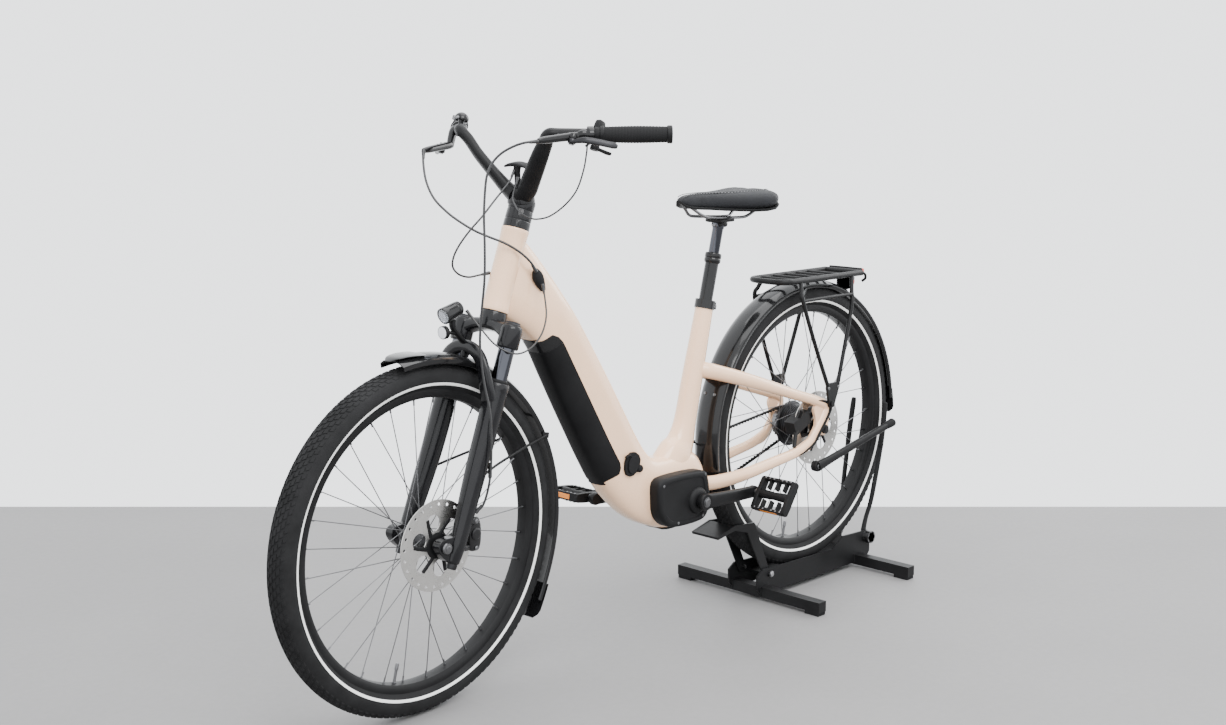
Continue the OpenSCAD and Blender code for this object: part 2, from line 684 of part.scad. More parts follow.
module left_brake_lever() color("#202022") steering() brake_lever(lever_rise);
module right_brake_lever() color("#202022") steering() mirror([0, 1, 0]) brake_lever(-lever_rise);

module remote_body() color("#151517") steering() difference() {
    union() {
        translate([36, 189, 845]) cube([22, 17, 24], center = true);
        rod([37, 191, 808], [37, 191, 820], 8);
    }
    rod(clamp_p - 12 * bar_end_dir, grip_in + 12 * bar_end_dir, 11.5);
}
module thumb_lever() color("#1b1b1d") steering() {
    rod([37, 191, 799], [37, 191, 807.5], 9);
    swept_tube([[37, 191, 803.2], [24, 197.3, 803], [13, 202.6, 802.3], [6, 206, 802]],
        [3.6, 3.6, 5.8, 4.4], 10);
}
bell_p = [72, -156, 838];
module bell() color("#141415") steering() {
    translate(bell_p) difference() {
        sphere(r = 15);
        translate([-20, -20, -40]) cube([40, 40, 40]);
    }
    rod(bell_p - [4, 0, 18], bell_p + [0, 0, 1], 5);
}
module bell_striker() color("#8c8c8e") steering() {
    rod(bell_p + [20, 0, -7], bell_p + [20, 0, 1], 4);
    rod(bell_p + [20, 0, -3], bell_p + [24, 15, -3], 2.5);
}

// --- hoses and cables ---

// Routes run from a lever, the display or the guide to where each line goes into its housing.
front_hose_route = [
    [431, 161, 1111], [452, 148, 1109], [466, 131, 1102], [480, 114, 1090], [492, 103, 1074],
    [501, 98, 1055], [506, 96, 1032], [511, 96, 977], [512, 98, 915], [513, 97, 853],
    [515, 90, 792], [515, 84, 728], [510, 88, 658], [503, 96, 600], [500, 96, 540], [502, 93, 470],
    [512, 86, 420], [524, 76, 402]
];
rear_hose_route = [
    [457, -146, 1087], [466, -136, 1062], [475, -117, 1028], [476, -93, 996], [466, -66, 970],
    [452, -43, 951], [433, -22, 934], [413, -4, 922], [392, 22, 909], [368, 38, 891],
    [346, 45, 870], [332, 44, 852]
];
display_route = [
    [342, -4, 1050], [362, 1, 1027], [403, 5, 994], [434, 3, 964], [459, -7, 936],
    [475, -19, 909], [482, -29, 885], [480, -34, 865], [466, -33, 850], [444, -30, 843],
    [420, -27, 845], [398, -22, 848]
];
light_route = [
    [323, 54, 824], [326, 64, 795], [340, 82, 768], [358, 93, 743], [377, 97, 724],
    [400, 96, 710], [429, 96, 703], [452, 90, 709], [466, 68, 724], [476, 44, 750], [488, 16, 784]
];
remote_route = [
    [346, 8, 1034], [368, 19, 1000], [375, 34, 983], [376, 52, 969], [373, 72, 961],
    [367, 88, 959], [357, 113, 966], [345, 142, 988], [334, 163, 1017], [327, 175, 1056],
    [321, 177, 1088], [318, 177, 1103], [313, 186, 1110]
];
module front_brake_hose() color("#111112") swept_tube(smooth_route(front_hose_route), 2.5);
module steering_cables() color("#111112") {
    swept_tube(smooth_route(rear_hose_route), 2.5);
    swept_tube(smooth_route(display_route), 1.8);
    swept_tube(smooth_route(light_route), 1.6);
}
module remote_cable() color("#111112") swept_tube(smooth_route(remote_route), 1.8);

// --- stand ---

stand_front_x = -405;
stand_rear_x = -785;
plate_y = 45;
pad_h = 8;
foot_z = pad_h + stand_tube / 2;
yoke_pivot = [-426, 0, 60];
arm_pivot = [-822, 0, 72];
module stand_base() color("#161617") difference() {
    union() {
        translate([stand_front_x, 0, foot_z - 1])
            cube([stand_tube, stand_front_len, stand_tube - 2], center = true);
        translate([stand_rear_x, 0, foot_z - 1])
            cube([stand_tube, stand_rear_len, stand_tube - 2], center = true);
        both_sides() side_plate([
            [-380, 28], [-378, 62], [-400, 76], [-430, 74], [-678, 66], [-722, 92], [-826, 88],
            [-838, 78], [-838, 30], [-822, 12], [-396, 12]
        ], plate_y - 3, plate_y + 1);
        translate([-620, 0, stand_lift - 3.3])
            cube([330, 2 * plate_y - 4, 6], center = true);
    }
    both_sides() {
        cross_cylinder(yoke_pivot, 4.1, plate_y - 10, plate_y + 10);
        cross_cylinder(arm_pivot, 4.1, plate_y - 10, plate_y + 10);
    }
}
module stand_foot_pads() color("#0f0f10")
    for (y = [-1, 1]) {
        translate([stand_front_x, y * (stand_front_len / 2 - 22), pad_h / 2])
            cube([stand_tube, 40, pad_h], center = true);
        translate([stand_rear_x, y * (stand_rear_len / 2 - 22), pad_h / 2])
            cube([stand_tube, 40, pad_h], center = true);
    }
module stand_bolts() color("#1c1c1d") both_sides() {
    cross_cylinder(yoke_pivot, 4, plate_y - 16, plate_y + 2);
    cross_cylinder(yoke_pivot, 8, plate_y + 1.2, plate_y + 7);
    cross_cylinder(arm_pivot, 4, plate_y - 16, plate_y + 2);
    cross_cylinder(arm_pivot, 16, plate_y + 1.2, plate_y + 18);
}
// Fork shaped plate that straddles the tyre from below
module stand_yoke() color("#151516") difference() {
    union() {
        both_sides() side_plate([
            [-440, 48], [-414, 48], [-348, 176], [-300, 190], [-240, 180], [-238, 186],
            [-300, 202], [-372, 196]
        ], plate_y - 9, plate_y - 5);
        side_plate([[-300, 190], [-240, 180], [-238, 186], [-300, 201]], 5 - plate_y, plate_y - 5);
    }
    cross_cylinder(yoke_pivot, 4 + RUN_FIT, -plate_y, plate_y);
}
module stand_arms() color("#151516") difference() {
    both_sides() {
        cross_cylinder(arm_pivot, 14, plate_y - 9, plate_y - 4);
        bent_rod([
            [-822, plate_y - 10, 72], [-828, plate_y - 10, 104], [-837, plate_y - 2, 145],
            [-846, plate_y + 2, 190],
            [-868, plate_y + 6, 300], [-886, plate_y + 4, 412]
        ], 6);
    }
    cross_cylinder(arm_pivot, 4 + RUN_FIT, -plate_y - 20, plate_y + 20);
}

stand_base();
stand_foot_pads();
stand_bolts();
stand_yoke();
stand_arms();
front_frame();
seat_tube();
rear_triangle();
seat_clamp();
cable_guide();
battery_pack();
charge_cover();
motor_unit();
motor_covers();
crank_arms();
front_sprocket();
drive_belt();
rear_sprocket();
left_pedal();
right_pedal();
rear_tyre();
rear_rim();
rear_spokes();
rear_hub();
rear_rotor();
rear_caliper();
rear_fender();
rear_rack();
rack_light();
kickstand();
post_outer();
post_inner();
saddle_rails();
saddle();
fork_crown();
fork_stanchions();
fork_lowers();
front_axle();
front_caliper();
front_fender();
headlight();
front_tyre();
front_rim();
front_spokes();
front_hub();
front_rotor();
steering_column();
handlebar();
grips();
display();
brake_bodies();
left_brake_lever();
right_brake_lever();
remote_body();
thumb_lever();
bell();
bell_striker();
front_brake_hose();
steering_cables();
remote_cable();
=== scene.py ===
import json
import math
import random

import bmesh
import bpy
from mathutils import Matrix, Vector


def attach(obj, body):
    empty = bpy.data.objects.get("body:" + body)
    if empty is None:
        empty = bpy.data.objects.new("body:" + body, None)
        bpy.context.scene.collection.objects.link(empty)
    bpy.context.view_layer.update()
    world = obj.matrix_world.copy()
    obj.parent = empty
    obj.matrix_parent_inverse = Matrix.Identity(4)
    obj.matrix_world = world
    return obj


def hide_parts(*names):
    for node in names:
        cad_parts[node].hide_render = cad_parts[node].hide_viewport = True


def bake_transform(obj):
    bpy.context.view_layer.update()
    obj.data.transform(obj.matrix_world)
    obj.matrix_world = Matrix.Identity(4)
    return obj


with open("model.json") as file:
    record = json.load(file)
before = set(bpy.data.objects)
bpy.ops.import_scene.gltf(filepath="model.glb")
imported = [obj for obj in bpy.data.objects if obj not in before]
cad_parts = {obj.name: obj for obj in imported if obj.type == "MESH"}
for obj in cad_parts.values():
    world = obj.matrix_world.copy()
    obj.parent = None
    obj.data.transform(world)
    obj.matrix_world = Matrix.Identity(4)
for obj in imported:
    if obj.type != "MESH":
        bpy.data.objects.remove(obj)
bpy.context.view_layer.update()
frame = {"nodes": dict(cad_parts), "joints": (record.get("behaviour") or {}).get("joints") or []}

random.seed(7)
NODES = frame["nodes"]
JOINTS = {j["name"]: j for j in frame["joints"]}

# --- camera ---

LENS, SENSOR = 46.05, 36
CAMERA_AT = (2.4419, 2.3165, 1.1965)
YAW, PITCH = -2.3685, -0.1691

cam_data = bpy.data.cameras.new("camera")
cam_data.lens, cam_data.sensor_width = LENS, SENSOR
camera = bpy.data.objects.new("camera", cam_data)
bpy.context.scene.collection.objects.link(camera)
camera.location = CAMERA_AT
look = Vector((math.cos(YAW) * math.cos(PITCH), math.sin(YAW) * math.cos(PITCH), math.sin(PITCH)))
camera.rotation_mode = "QUATERNION"
camera.rotation_quaternion = look.to_track_quat("-Z", "Y")
bpy.context.scene.camera = camera


# --- materials ---

def new_material(name):
    m = bpy.data.materials.new(name)
    m.use_nodes = True
    nt = m.node_tree
    return m, nt, nt.nodes["Principled BSDF"]


def node(nt, kind, **values):
    n = nt.nodes.new(kind)
    for k, v in values.items():
        if hasattr(n, k):
            setattr(n, k, v)
        else:
            n.inputs[k.replace("_", " ")].default_value = v
    return n


def surface(name, colour, rough, metal=0.0, coat=0.0, vary=0.12, grain=900.0, bump=0.12, spread=0.08,
        stretch=(1, 1, 1), sheen=0.0, specular=0.5, patch=9.0, second=None, depth=0.0004):
    """Patchy colour, uneven roughness and a fine grain, all in the object's own coordinates."""
    m, nt, p = new_material(name)
    coord = node(nt, "ShaderNodeTexCoord")
    mapping = node(nt, "ShaderNodeMapping")
    mapping.inputs["Scale"].default_value = stretch
    nt.links.new(coord.outputs["Object"], mapping.inputs["Vector"])
    big = node(nt, "ShaderNodeTexNoise", Scale=patch, Detail=5.0, Roughness=0.6)
    fine = node(nt, "ShaderNodeTexNoise", Scale=grain, Detail=3.0, Roughness=0.65)
    nt.links.new(coord.outputs["Object"], big.inputs["Vector"])
    nt.links.new(mapping.outputs["Vector"], fine.inputs["Vector"])
    ramp = node(nt, "ShaderNodeValToRGB")
    other = second or [min(1.0, c * (1 + vary) + 0.002) for c in colour]
    ramp.color_ramp.elements[0].position, ramp.color_ramp.elements[1].position = 0.32, 0.7
    ramp.color_ramp.elements[0].color = [c * (1 - vary) for c in colour] + [1]
    ramp.color_ramp.elements[1].color = list(other) + [1]
    nt.links.new(big.outputs["Fac"], ramp.inputs["Fac"])
    nt.links.new(ramp.outputs["Color"], p.inputs["Base Color"])
    mix = node(nt, "ShaderNodeMath", operation="MULTIPLY")
    nt.links.new(big.outputs["Fac"], mix.inputs[0])
    nt.links.new(fine.outputs["Fac"], mix.inputs[1])
    span = node(nt, "ShaderNodeMapRange")
    span.inputs["From Min"].default_value, span.inputs["From Max"].default_value = 0.12, 0.42
    span.inputs["To Min"].default_value = max(0.02, rough - spread)
    span.inputs["To Max"].default_value = min(1.0, rough + spread)
    nt.links.new(mix.outputs["Value"], span.inputs["Value"])
    nt.links.new(span.outputs["Result"], p.inputs["Roughness"])
    b = node(nt, "ShaderNodeBump", Strength=bump, Distance=depth)
    nt.links.new(fine.outputs["Fac"], b.inputs["Height"])
    nt.links.new(b.outputs["Normal"], p.inputs["Normal"])
    p.inputs["Metallic"].default_value = metal
    p.inputs["Specular IOR Level"].default_value = specular
    if coat:
        p.inputs["Coat Weight"].default_value = coat
        p.inputs["Coat Roughness"].default_value = 0.06
    if sheen:
        p.inputs["Sheen Weight"].default_value = sheen
        p.inputs["Sheen Roughness"].default_value = 0.5
    return m


CREAM = surface("cream_paint", (0.90, 0.585, 0.375), 0.28, coat=0.75, vary=0.022, grain=420, bump=0.03,
    spread=0.05)
BLACK_COAT = surface("black_powder_coat", (0.007, 0.007, 0.0075), 0.42, vary=0.25, grain=1400, bump=0.22,
    spread=0.09, specular=0.16)
BLACK_GLOSS = surface("black_gloss", (0.006, 0.006, 0.0065), 0.2, coat=0.35, vary=0.2, grain=500, bump=0.03,
    specular=0.16)
FORK_BLACK = surface("fork_black", (0.006, 0.006, 0.007), 0.26, coat=0.25, vary=0.2, grain=800, bump=0.05,
    specular=0.16)
ANODISED = surface("black_anodised", (0.03, 0.03, 0.032), 0.36, metal=0.85, vary=0.2, grain=1800, bump=0.08)
PLASTIC = surface("moulded_plastic", (0.008, 0.008, 0.0085), 0.52, vary=0.2, grain=2200, bump=0.28,
    spread=0.1, specular=0.13)
BATTERY = surface("battery_case", (0.005, 0.005, 0.0055), 0.46, vary=0.2, grain=2600, bump=0.3, spread=0.08,
    specular=0.13)
RUBBER = surface("soft_rubber", (0.009, 0.009, 0.0095), 0.72, vary=0.2, grain=1500, bump=0.3, spread=0.1,
    specular=0.13)
TYRE = surface("tyre_rubber", (0.013, 0.013, 0.0135), 0.8, vary=0.28, grain=700, bump=0.35, spread=0.1,
    patch=22, specular=0.13)
STEEL = surface("ground_steel", (0.56, 0.55, 0.53), 0.32, metal=1.0, vary=0.1, grain=500, bump=0.12,
    stretch=(1, 4, 1))
DARK_STEEL = surface("dark_steel", (0.16, 0.16, 0.165), 0.34, metal=1.0, vary=0.15, grain=900, bump=0.1)
STANCHION = surface("stanchion_coat", (0.075, 0.078, 0.09), 0.12, metal=1.0, vary=0.1, grain=1500,
    bump=0.03, spread=0.03)
HOSE = surface("hose_jacket", (0.02, 0.02, 0.021), 0.38, vary=0.15, grain=1600, bump=0.1)
SADDLE = surface("saddle_cover", (0.009, 0.0095, 0.0115), 0.62, vary=0.22, grain=1300, bump=0.5, spread=0.1,
    sheen=0.04, specular=0.2, patch=30)
REFLECT = surface("reflective_band", (0.82, 0.82, 0.8), 0.34, vary=0.06, grain=2400, bump=0.2)
RED = surface("red_lens", (0.62, 0.03, 0.012), 0.16, coat=0.6, vary=0.2, grain=300, bump=0.12,
    stretch=(1, 3, 1))
ORANGE = surface("orange_reflector", (0.85, 0.26, 0.02), 0.2, coat=0.5, vary=0.15, grain=420, bump=0.3)
WHITE_LENS = surface("reflector_lens", (0.78, 0.8, 0.84), 0.1, coat=0.6, vary=0.06, grain=420, bump=0.4)
MIRROR_CUP = surface("lamp_cup", (0.86, 0.87, 0.9), 0.12, metal=0.9, vary=0.05, grain=260, bump=0.5,
    depth=0.001)
SCREEN = surface("display_glass", (0.01, 0.011, 0.013), 0.08, coat=0.8, vary=0.1, grain=200, bump=0.01)
PALE_GREY = surface("worn_edge_metal", (0.34, 0.34, 0.35), 0.36, metal=0.9, vary=0.2, grain=900, bump=0.1)


# --- mesh makers; numbers are millimetres ---

MM = 0.001
WELD = 1e-6
UP, LEFT = (0, 0, 1), (0, 1, 0)
CRANK = (-135, 0, 300)
REAR_AXLE = (-590, 0, 394.7)
FORK_HALF = 66
ROUND = 128  # segments round a wheel
SPOKES = 32
TYRE_R = 347.9
HEAD = math.radians(70)
steer_pos = Vector(JOINTS["steer"]["pos_m"])
STEER = Matrix.Translation(steer_pos) @ Matrix.Rotation(HEAD - math.pi / 2, 4, "Y") @ \
    Matrix.Rotation(math.radians(2.8), 4, "Z")
WORLD = Matrix.Identity(4)
REAR = Matrix.Translation(JOINTS["rear_wheel_turn"]["pos_m"])
FRONT = STEER @ Matrix.Translation((0.046, 0, 0))


def add_piece(name, verts, faces, material, body, place=WORLD, replaces=(), smooth=35, bevel=0.0, sub=0):
    me = bpy.data.meshes.new(name)
    me.from_pydata([place @ (Vector(v) * MM) for v in verts], [], faces)
    bm = bmesh.new()
    bm.from_mesh(me)
    bmesh.ops.remove_doubles(bm, verts=bm.verts, dist=WELD)
    bmesh.ops.recalc_face_normals(bm, faces=bm.faces)
    bm.to_mesh(me)
    bm.free()
    for f in me.polygons:
        f.use_smooth = True
    me.set_sharp_from_angle(angle=math.radians(smooth))
    me.materials.append(material)
    o = bpy.data.objects.new(name, me)
    bpy.context.scene.collection.objects.link(o)
    if bevel:
        add_bevel(o, bevel)
    if sub:
        s = o.modifiers.new("smooth", "SUBSURF")
        s.levels = s.render_levels = sub
    if isinstance(body, str):
        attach(o, body)
    else:
        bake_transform(o)
    if replaces:
        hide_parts(*([replaces] if isinstance(replaces, str) else replaces))
    return o


def add_bevel(o, width, segments=2, angle=32):
    b = o.modifiers.new("edge", "BEVEL")
    b.width, b.segments, b.limit_method, b.angle_limit = width * MM, segments, "ANGLE", math.radians(angle)
    b.harden_normals = False


def between(p, q, r, s, t):
    """The Catmull-Rom value between q and r."""
    return 0.5 * (2 * q + (r - p) * t + (2 * p - 5 * q + 4 * r - s) * t * t + (3 * q - p - 3 * r + s) * t ** 3)


def curve(points, steps):
    """Catmull-Rom through tuples of any length."""
    if steps < 2 or len(points) < 3:
        return [tuple(p) for p in points]
    out, n = [], len(points)
    for i in range(n - 1):
        a, b, c, d = points[max(i - 1, 0)], points[i], points[i + 1], points[min(i + 2, n - 1)]
        for k in range(steps):
            t = k / steps
            out.append(tuple(between(*four, t) for four in zip(a, b, c, d)))
    return out + [tuple(points[-1])]


def rings_to_mesh(rings, closed=False, caps=True):
    n = len(rings[0])
    verts = [v for r in rings for v in r]
    faces = []
    last = len(rings) if closed else len(rings) - 1
    for i in range(last):
        j = (i + 1) % len(rings)
        for k in range(n):
            faces.append((i * n + k, j * n + k, j * n + (k + 1) % n, i * n + (k + 1) % n))
    if caps and not closed:
        faces.append(tuple(range(n)))
        faces.append(tuple((len(rings) - 1) * n + k for k in range(n)))
    return verts, faces


def tube_rings(points, radii, sides=16, steps=5, side=LEFT, power=2.0, dome=0.0):
    """Rings along a smooth route. A radius is one number, or a pair: along the side vector and across it."""
    if not isinstance(radii, list):
        radii = [radii] * len(points)
    pairs = [r if isinstance(r, tuple) else (r, r) for r in radii]
    route = curve([tuple(p) + q for p, q in zip(points, pairs)], steps)
    pos = [Vector(p[:3]) for p in route]
    rad = [(p[3], p[4]) for p in route]
    tangent = [(pos[min(i + 1, len(pos) - 1)] - pos[max(i - 1, 0)]).normalized() for i in range(len(pos))]
    u = Vector(side)
    if abs(tangent[0].dot(u)) > 0.9:
        u = Vector(UP)
    rings = []
    for i, t in enumerate(tangent):
        u = (u - t * u.dot(t)).normalized()
        v = t.cross(u)
        scales = [(1.0, 0.0)]
        if dome and i == 0:
            scales = [(math.cos(a), -math.sin(a) * dome) for a in (1.35, 0.9, 0.45, 0)]
        if dome and i == len(pos) - 1:
            scales = [(math.cos(a), math.sin(a) * dome) for a in (0, 0.45, 0.9, 1.35)]
        for s, shift in scales:
            ring = []
            for k in range(sides):
                a = 2 * math.pi * k / sides
                c, d = math.cos(a), math.sin(a)
                c = math.copysign(abs(c) ** (2 / power), c)
                d = math.copysign(abs(d) ** (2 / power), d)
                ring.append(pos[i] + t * shift + u * (rad[i][0] * c * s) + v * (rad[i][1] * d * s))
            rings.append(ring)
    return rings


def tube(name, points, radii, material, body, place=WORLD, replaces=(), smooth=40, bevel=0.0, **how):
    verts, faces = rings_to_mesh(tube_rings(points, radii, **how))
    return add_piece(name, verts, faces, material, body, place, replaces, smooth, bevel)


def merge(parts):
    """Several (verts, faces) as one mesh."""
    verts, faces = [], []
    for v, f in parts:
        base = len(verts)
        verts += list(v)
        faces += [tuple(base + i for i in face) for face in f]
    return verts, faces


def moved(part, m):
    """A part moved by a matrix in millimetres."""
    return [m @ Vector(v) for v in part[0]], part[1]


def tube_part(points, radii, **how):
    return rings_to_mesh(tube_rings(points, radii, **how))


def lathe_part(profile, centre=(0, 0, 0), axis=LEFT, segments=32, close=False):
    """Profile points are (distance along the axis, radius)."""
    a = Vector(axis).normalized()
    u = a.orthogonal().normalized()
    v = a.cross(u)
    c = Vector(centre)
    rings = []
    for along, r in profile:
        ring = []
        for k in range(segments):
            turn = 2 * math.pi * k / segments
            ring.append(c + a * along + (u * math.cos(turn) + v * math.sin(turn)) * max(r, 0.01))
        rings.append(ring)
    return rings_to_mesh(rings, closed=close, caps=not close)


def plate_part(outline, y0, y1, rounds=0):
    """Side-plane plate; its corners are cut round by Chaikin's rule."""
    pts = [tuple(p) for p in outline]
    for _ in range(rounds):
        out = []
        for i, p in enumerate(pts):
            q = pts[(i + 1) % len(pts)]
            out.append((p[0] * 0.75 + q[0] * 0.25, p[1] * 0.75 + q[1] * 0.25))
            out.append((p[0] * 0.25 + q[0] * 0.75, p[1] * 0.25 + q[1] * 0.75))
        pts = out
    n = len(pts)
    verts = [(x, y0, z) for x, z in pts] + [(x, y1, z) for x, z in pts]
    faces = [tuple(range(n)), tuple(range(2 * n - 1, n - 1, -1))]
    faces += [(i, (i + 1) % n, n + (i + 1) % n, n + i) for i in range(n)]
    return verts, faces


def box_part(centre, size, turn=None):
    c, h = Vector(centre), Vector(size) / 2
    m = turn or Matrix.Identity(3)
    verts = [c + m @ Vector((h.x * x, h.y * y, h.z * z)) for x in (-1, 1) for y in (-1, 1) for z in (-1, 1)]
    faces = [(0, 1, 3, 2), (4, 6, 7, 5), (0, 4, 5, 1), (2, 3, 7, 6), (0, 2, 6, 4), (1, 5, 7, 3)]
    return verts, faces


def piece(name, parts, material, body, **how):
    verts, faces = merge(parts)
    return add_piece(name, verts, faces, material, body, **how)


def steer_piece(name, parts, material, body="steering", **how):
    """A piece drawn in the steering frame."""
    return piece(name, parts, material, body, place=STEER, **how)


def flip(part, s):
    """The part itself for the left side, or its mirror for the right."""
    return part if s > 0 else ([Vector((v[0], -v[1], v[2])) for v in part[0]], part[1])


def both(part):
    """A part and its mirror across the middle plane."""
    return [part, flip(part, -1)]


def bolt_part(centre, axis, r=4.0, height=3.0):
    """A socket head bolt with its hexagon recess."""
    head = lathe_part([(0, r), (height * 0.75, r), (height, r * 0.86), (height, r * 0.5)], centre, axis, 20)
    socket = lathe_part([(height + 0.02, r * 0.5), (height * 0.45, r * 0.48)], centre, axis, 6)
    return [head, socket]


def paint(name, material, bevel=0.0, smooth=35):
    """Gives a carried-over CAD node its material, and soft edges where asked."""
    o = NODES[name]
    o.data.materials.clear()
    o.data.materials.append(material)
    for f in o.data.polygons:
        f.use_smooth = True
    o.data.set_sharp_from_angle(angle=math.radians(smooth))
    if bevel:
        add_bevel(o, bevel, 2, 40)
    return o


# --- wheels ---

TREAD_ROWS = [(0, 5.6, 0), (8.2, 5.0, 0.5), (-8.2, 5.0, 0.5), (15.4, 4.6, 0), (-15.4, 4.6, 0),
    (21.6, 3.6, 0.5), (-21.6, 3.6, 0.5)]
SIDEWALL = [(-16, 297), (-19, 300), (-24.2, 304.5), (-27.6, 311), (-28.6, 320), (-27.2, 329),
    (-23.4, 336.6), (-16.5, 342), (-8, 345), (0, 346), (8, 345), (16.5, 342), (23.4, 336.6), (27.2, 329),
    (28.6, 320), (27.6, 311), (24.2, 304.5), (19, 300), (16, 297)]


def tread_height(y):
    """Radius of the tyre's carcass at a distance from its middle."""
    for (y0, r0), (y1, r1) in zip(SIDEWALL[6:], SIDEWALL[7:]):
        if y0 <= y <= y1:
            return r0 + (r1 - r0) * (y - y0) / (y1 - y0)
    return SIDEWALL[6][1]


def tyre_parts(blocks=128):
    parts = [lathe_part(SIDEWALL + [(0, 299)], segments=ROUND, close=True)]
    verts, faces = [], []
    for y, half, offset in TREAD_ROWS:
        lean = 0.35 if y >= 0 else -0.35
        for i in range(blocks):
            a0 = 2 * math.pi * (i + offset) / blocks
            span = 2 * math.pi / blocks * (0.36 if abs(y) < 18 else 0.3)
            base = len(verts)
            for lift, shrink in ((-1.0, 1.0), (1.9, 0.86)):
                for dy, da in ((-1, -1), (1, -1), (1, 1), (-1, 1)):
                    yy = y + dy * half * 0.66 * shrink
                    aa = a0 + da * span * shrink + lean * dy * span * (1 if y else 0.8)
                    r = min(tread_height(yy) + lift, TYRE_R)
                    verts.append((r * math.cos(aa), yy, r * math.sin(aa)))
            faces += [tuple(base + k for k in f) for f in ((4, 5, 6, 7), (0, 1, 5, 4), (1, 2, 6, 5),
                (2, 3, 7, 6), (3, 0, 4, 7))]
    parts.append((verts, faces))
    return parts


def wheel(side, place, body):
    piece(side + "_tyre_tread", tyre_parts(), TYRE, body, place=place, replaces=side + "_tyre", smooth=30)
    bands = [lathe_part([(s * 26.3, 306.2), (s * 27.3, 308.2), (s * 28.15, 311.6), (s * 27.4, 311.4),
        (s * 25.6, 306.5)], segments=ROUND, close=True) for s in (-1, 1)]
    piece(side + "_tyre_band", bands, REFLECT, body, place=place)
    rim = [lathe_part([(-16.5, 301.5), (-14.4, 302.6), (-13.4, 299), (-14.5, 292), (-15, 286), (-11, 282.4),
        (0, 280.6), (11, 282.4), (15, 286), (14.5, 292), (13.4, 299), (14.4, 302.6), (16.5, 301.5),
        (17, 296), (17, 287), (12.5, 281.2), (0, 279.2), (-12.5, 281.2), (-17, 287), (-17, 296)],
        segments=ROUND, close=True)]
    piece(side + "_rim_section", rim, BLACK_COAT, body, place=place, replaces=side + "_rim", smooth=40)
    nipples = []
    for i in range(SPOKES):
        a = 2 * math.pi * i / SPOKES
        d = Vector((math.cos(a), 0, math.sin(a)))
        y = 3 if i % 2 == 0 else -3
        nipples.append(lathe_part([(0, 1.7), (9, 1.7), (11, 2.6), (13, 2.6)], d * 268 + Vector((0, y, 0)),
            d, 8))
    piece(side + "_spoke_nipples", nipples, DARK_STEEL, body, place=place)
    paint(side + "_spokes", DARK_STEEL)
    paint(side + "_rotor", STEEL, smooth=20)


wheel("rear", REAR, "rear_wheel")
wheel("front", FRONT, "front_wheel")


def valve(name, place, body, angle):
    d = Vector((math.cos(angle), 0, math.sin(angle)))
    piece(name, [lathe_part([(0, 4.5), (3, 4.5), (4, 3), (26, 3), (27, 3.9), (37, 3.9), (40, 3)], d * 281,
        -d, 14)], DARK_STEEL, body, place=place)


valve("front_valve", FRONT, "front_wheel", math.radians(-96))
valve("rear_valve", REAR, "rear_wheel", math.radians(-78))

hub_front = [lathe_part([(-46, 9), (-46, 12.5), (-34, 13), (-32, 21.5), (-29.5, 22.5), (-26, 21.5),
    (-22, 15), (0, 12.6), (22, 15), (26, 21.5), (29.5, 22.5), (32, 21.5), (35, 19), (44, 19), (44, 12.5),
    (47, 12), (47, 9)], segments=40)]
piece("front_hub_shell", hub_front, ANODISED, "front_wheel", place=FRONT, replaces="front_hub", smooth=30)
spider = []
for i in range(6):
    a = math.radians(60 * i + 30)
    spider.append(tube_part([(18 * math.cos(a), 50, 18 * math.sin(a)), (36 * math.cos(a + 0.18), 50,
        36 * math.sin(a + 0.18)), (58 * math.cos(a + 0.3), 50, 58 * math.sin(a + 0.3))],
        [(2.6, 6), (2.2, 4.5), (2.2, 4.5)], sides=10, steps=4))
ring = [lathe_part([(47.6, 10), (47.6, 25), (49, 27), (52, 25), (53, 18), (53, 10)], segments=40)]
piece("front_rotor_carrier", spider + ring, BLACK_COAT, "front_wheel", place=FRONT)
piece("rear_rotor_carrier", spider + ring, BLACK_COAT, "rear_wheel", place=REAR)
# The rear hub's shell has seven shallow cooling grooves between its flanges.
GROOVE = ((-1.6, 49.6), (-1, 47.8), (1, 47.8), (1.6, 49.6))
grooves = [(y + d, r) for y in range(-18, 19, 6) for d, r in GROOVE]
hub_profile = [(-58, 7), (-58, 16), (-36, 16), (-36, 38), (-34, 48), (-31, 50), (-31, 55), (-27, 56.5),
    (-23, 55), (-21, 50), *grooves, (21, 50), (23, 55), (27, 56.5), (31, 55), (31, 50), (34, 48), (36, 40),
    (42, 38), (43, 24), (47, 23), (47, 16), (58, 16), (58, 7)]
piece("rear_hub_shell", [lathe_part(hub_profile, segments=56)], ANODISED, "rear_wheel", place=REAR,
    replaces="rear_hub", smooth=30)

# --- frame: one smooth shell from the head tube to the motor ---

# Each station is its upper and lower edge in the middle plane, its half width and how square it is.
STATIONS = [((346, 926), (404, 772), 21, 2.4), ((322, 905), (392, 764), 27, 2.6),
    ((284, 860), (368, 748), 33, 3.0), ((240, 805), (338, 726), 37, 3.2), ((196, 748), (304, 690), 38, 3.2),
    ((146, 674), (270, 628), 38, 3.2), ((98, 600), (236, 565), 38, 3.2), ((52, 526), (198, 497), 38, 3.2),
    ((8, 456), (160, 431), 38.4, 3.2), ((-22, 418), (122, 372), 39, 3.2), ((-44, 405), (76, 320), 40, 3.2),
    ((-72, 401), (24, 278), 40.5, 3.4), ((-104, 401), (-34, 250), 40.5, 3.6), ((-138, 403), (-88, 236),
    40.5, 3.6), ((-170, 400), (-136, 237), 40, 3.4), ((-196, 374), (-176, 256), 37, 2.8),
    ((-206, 340), (-200, 292), 26, 2.4),]


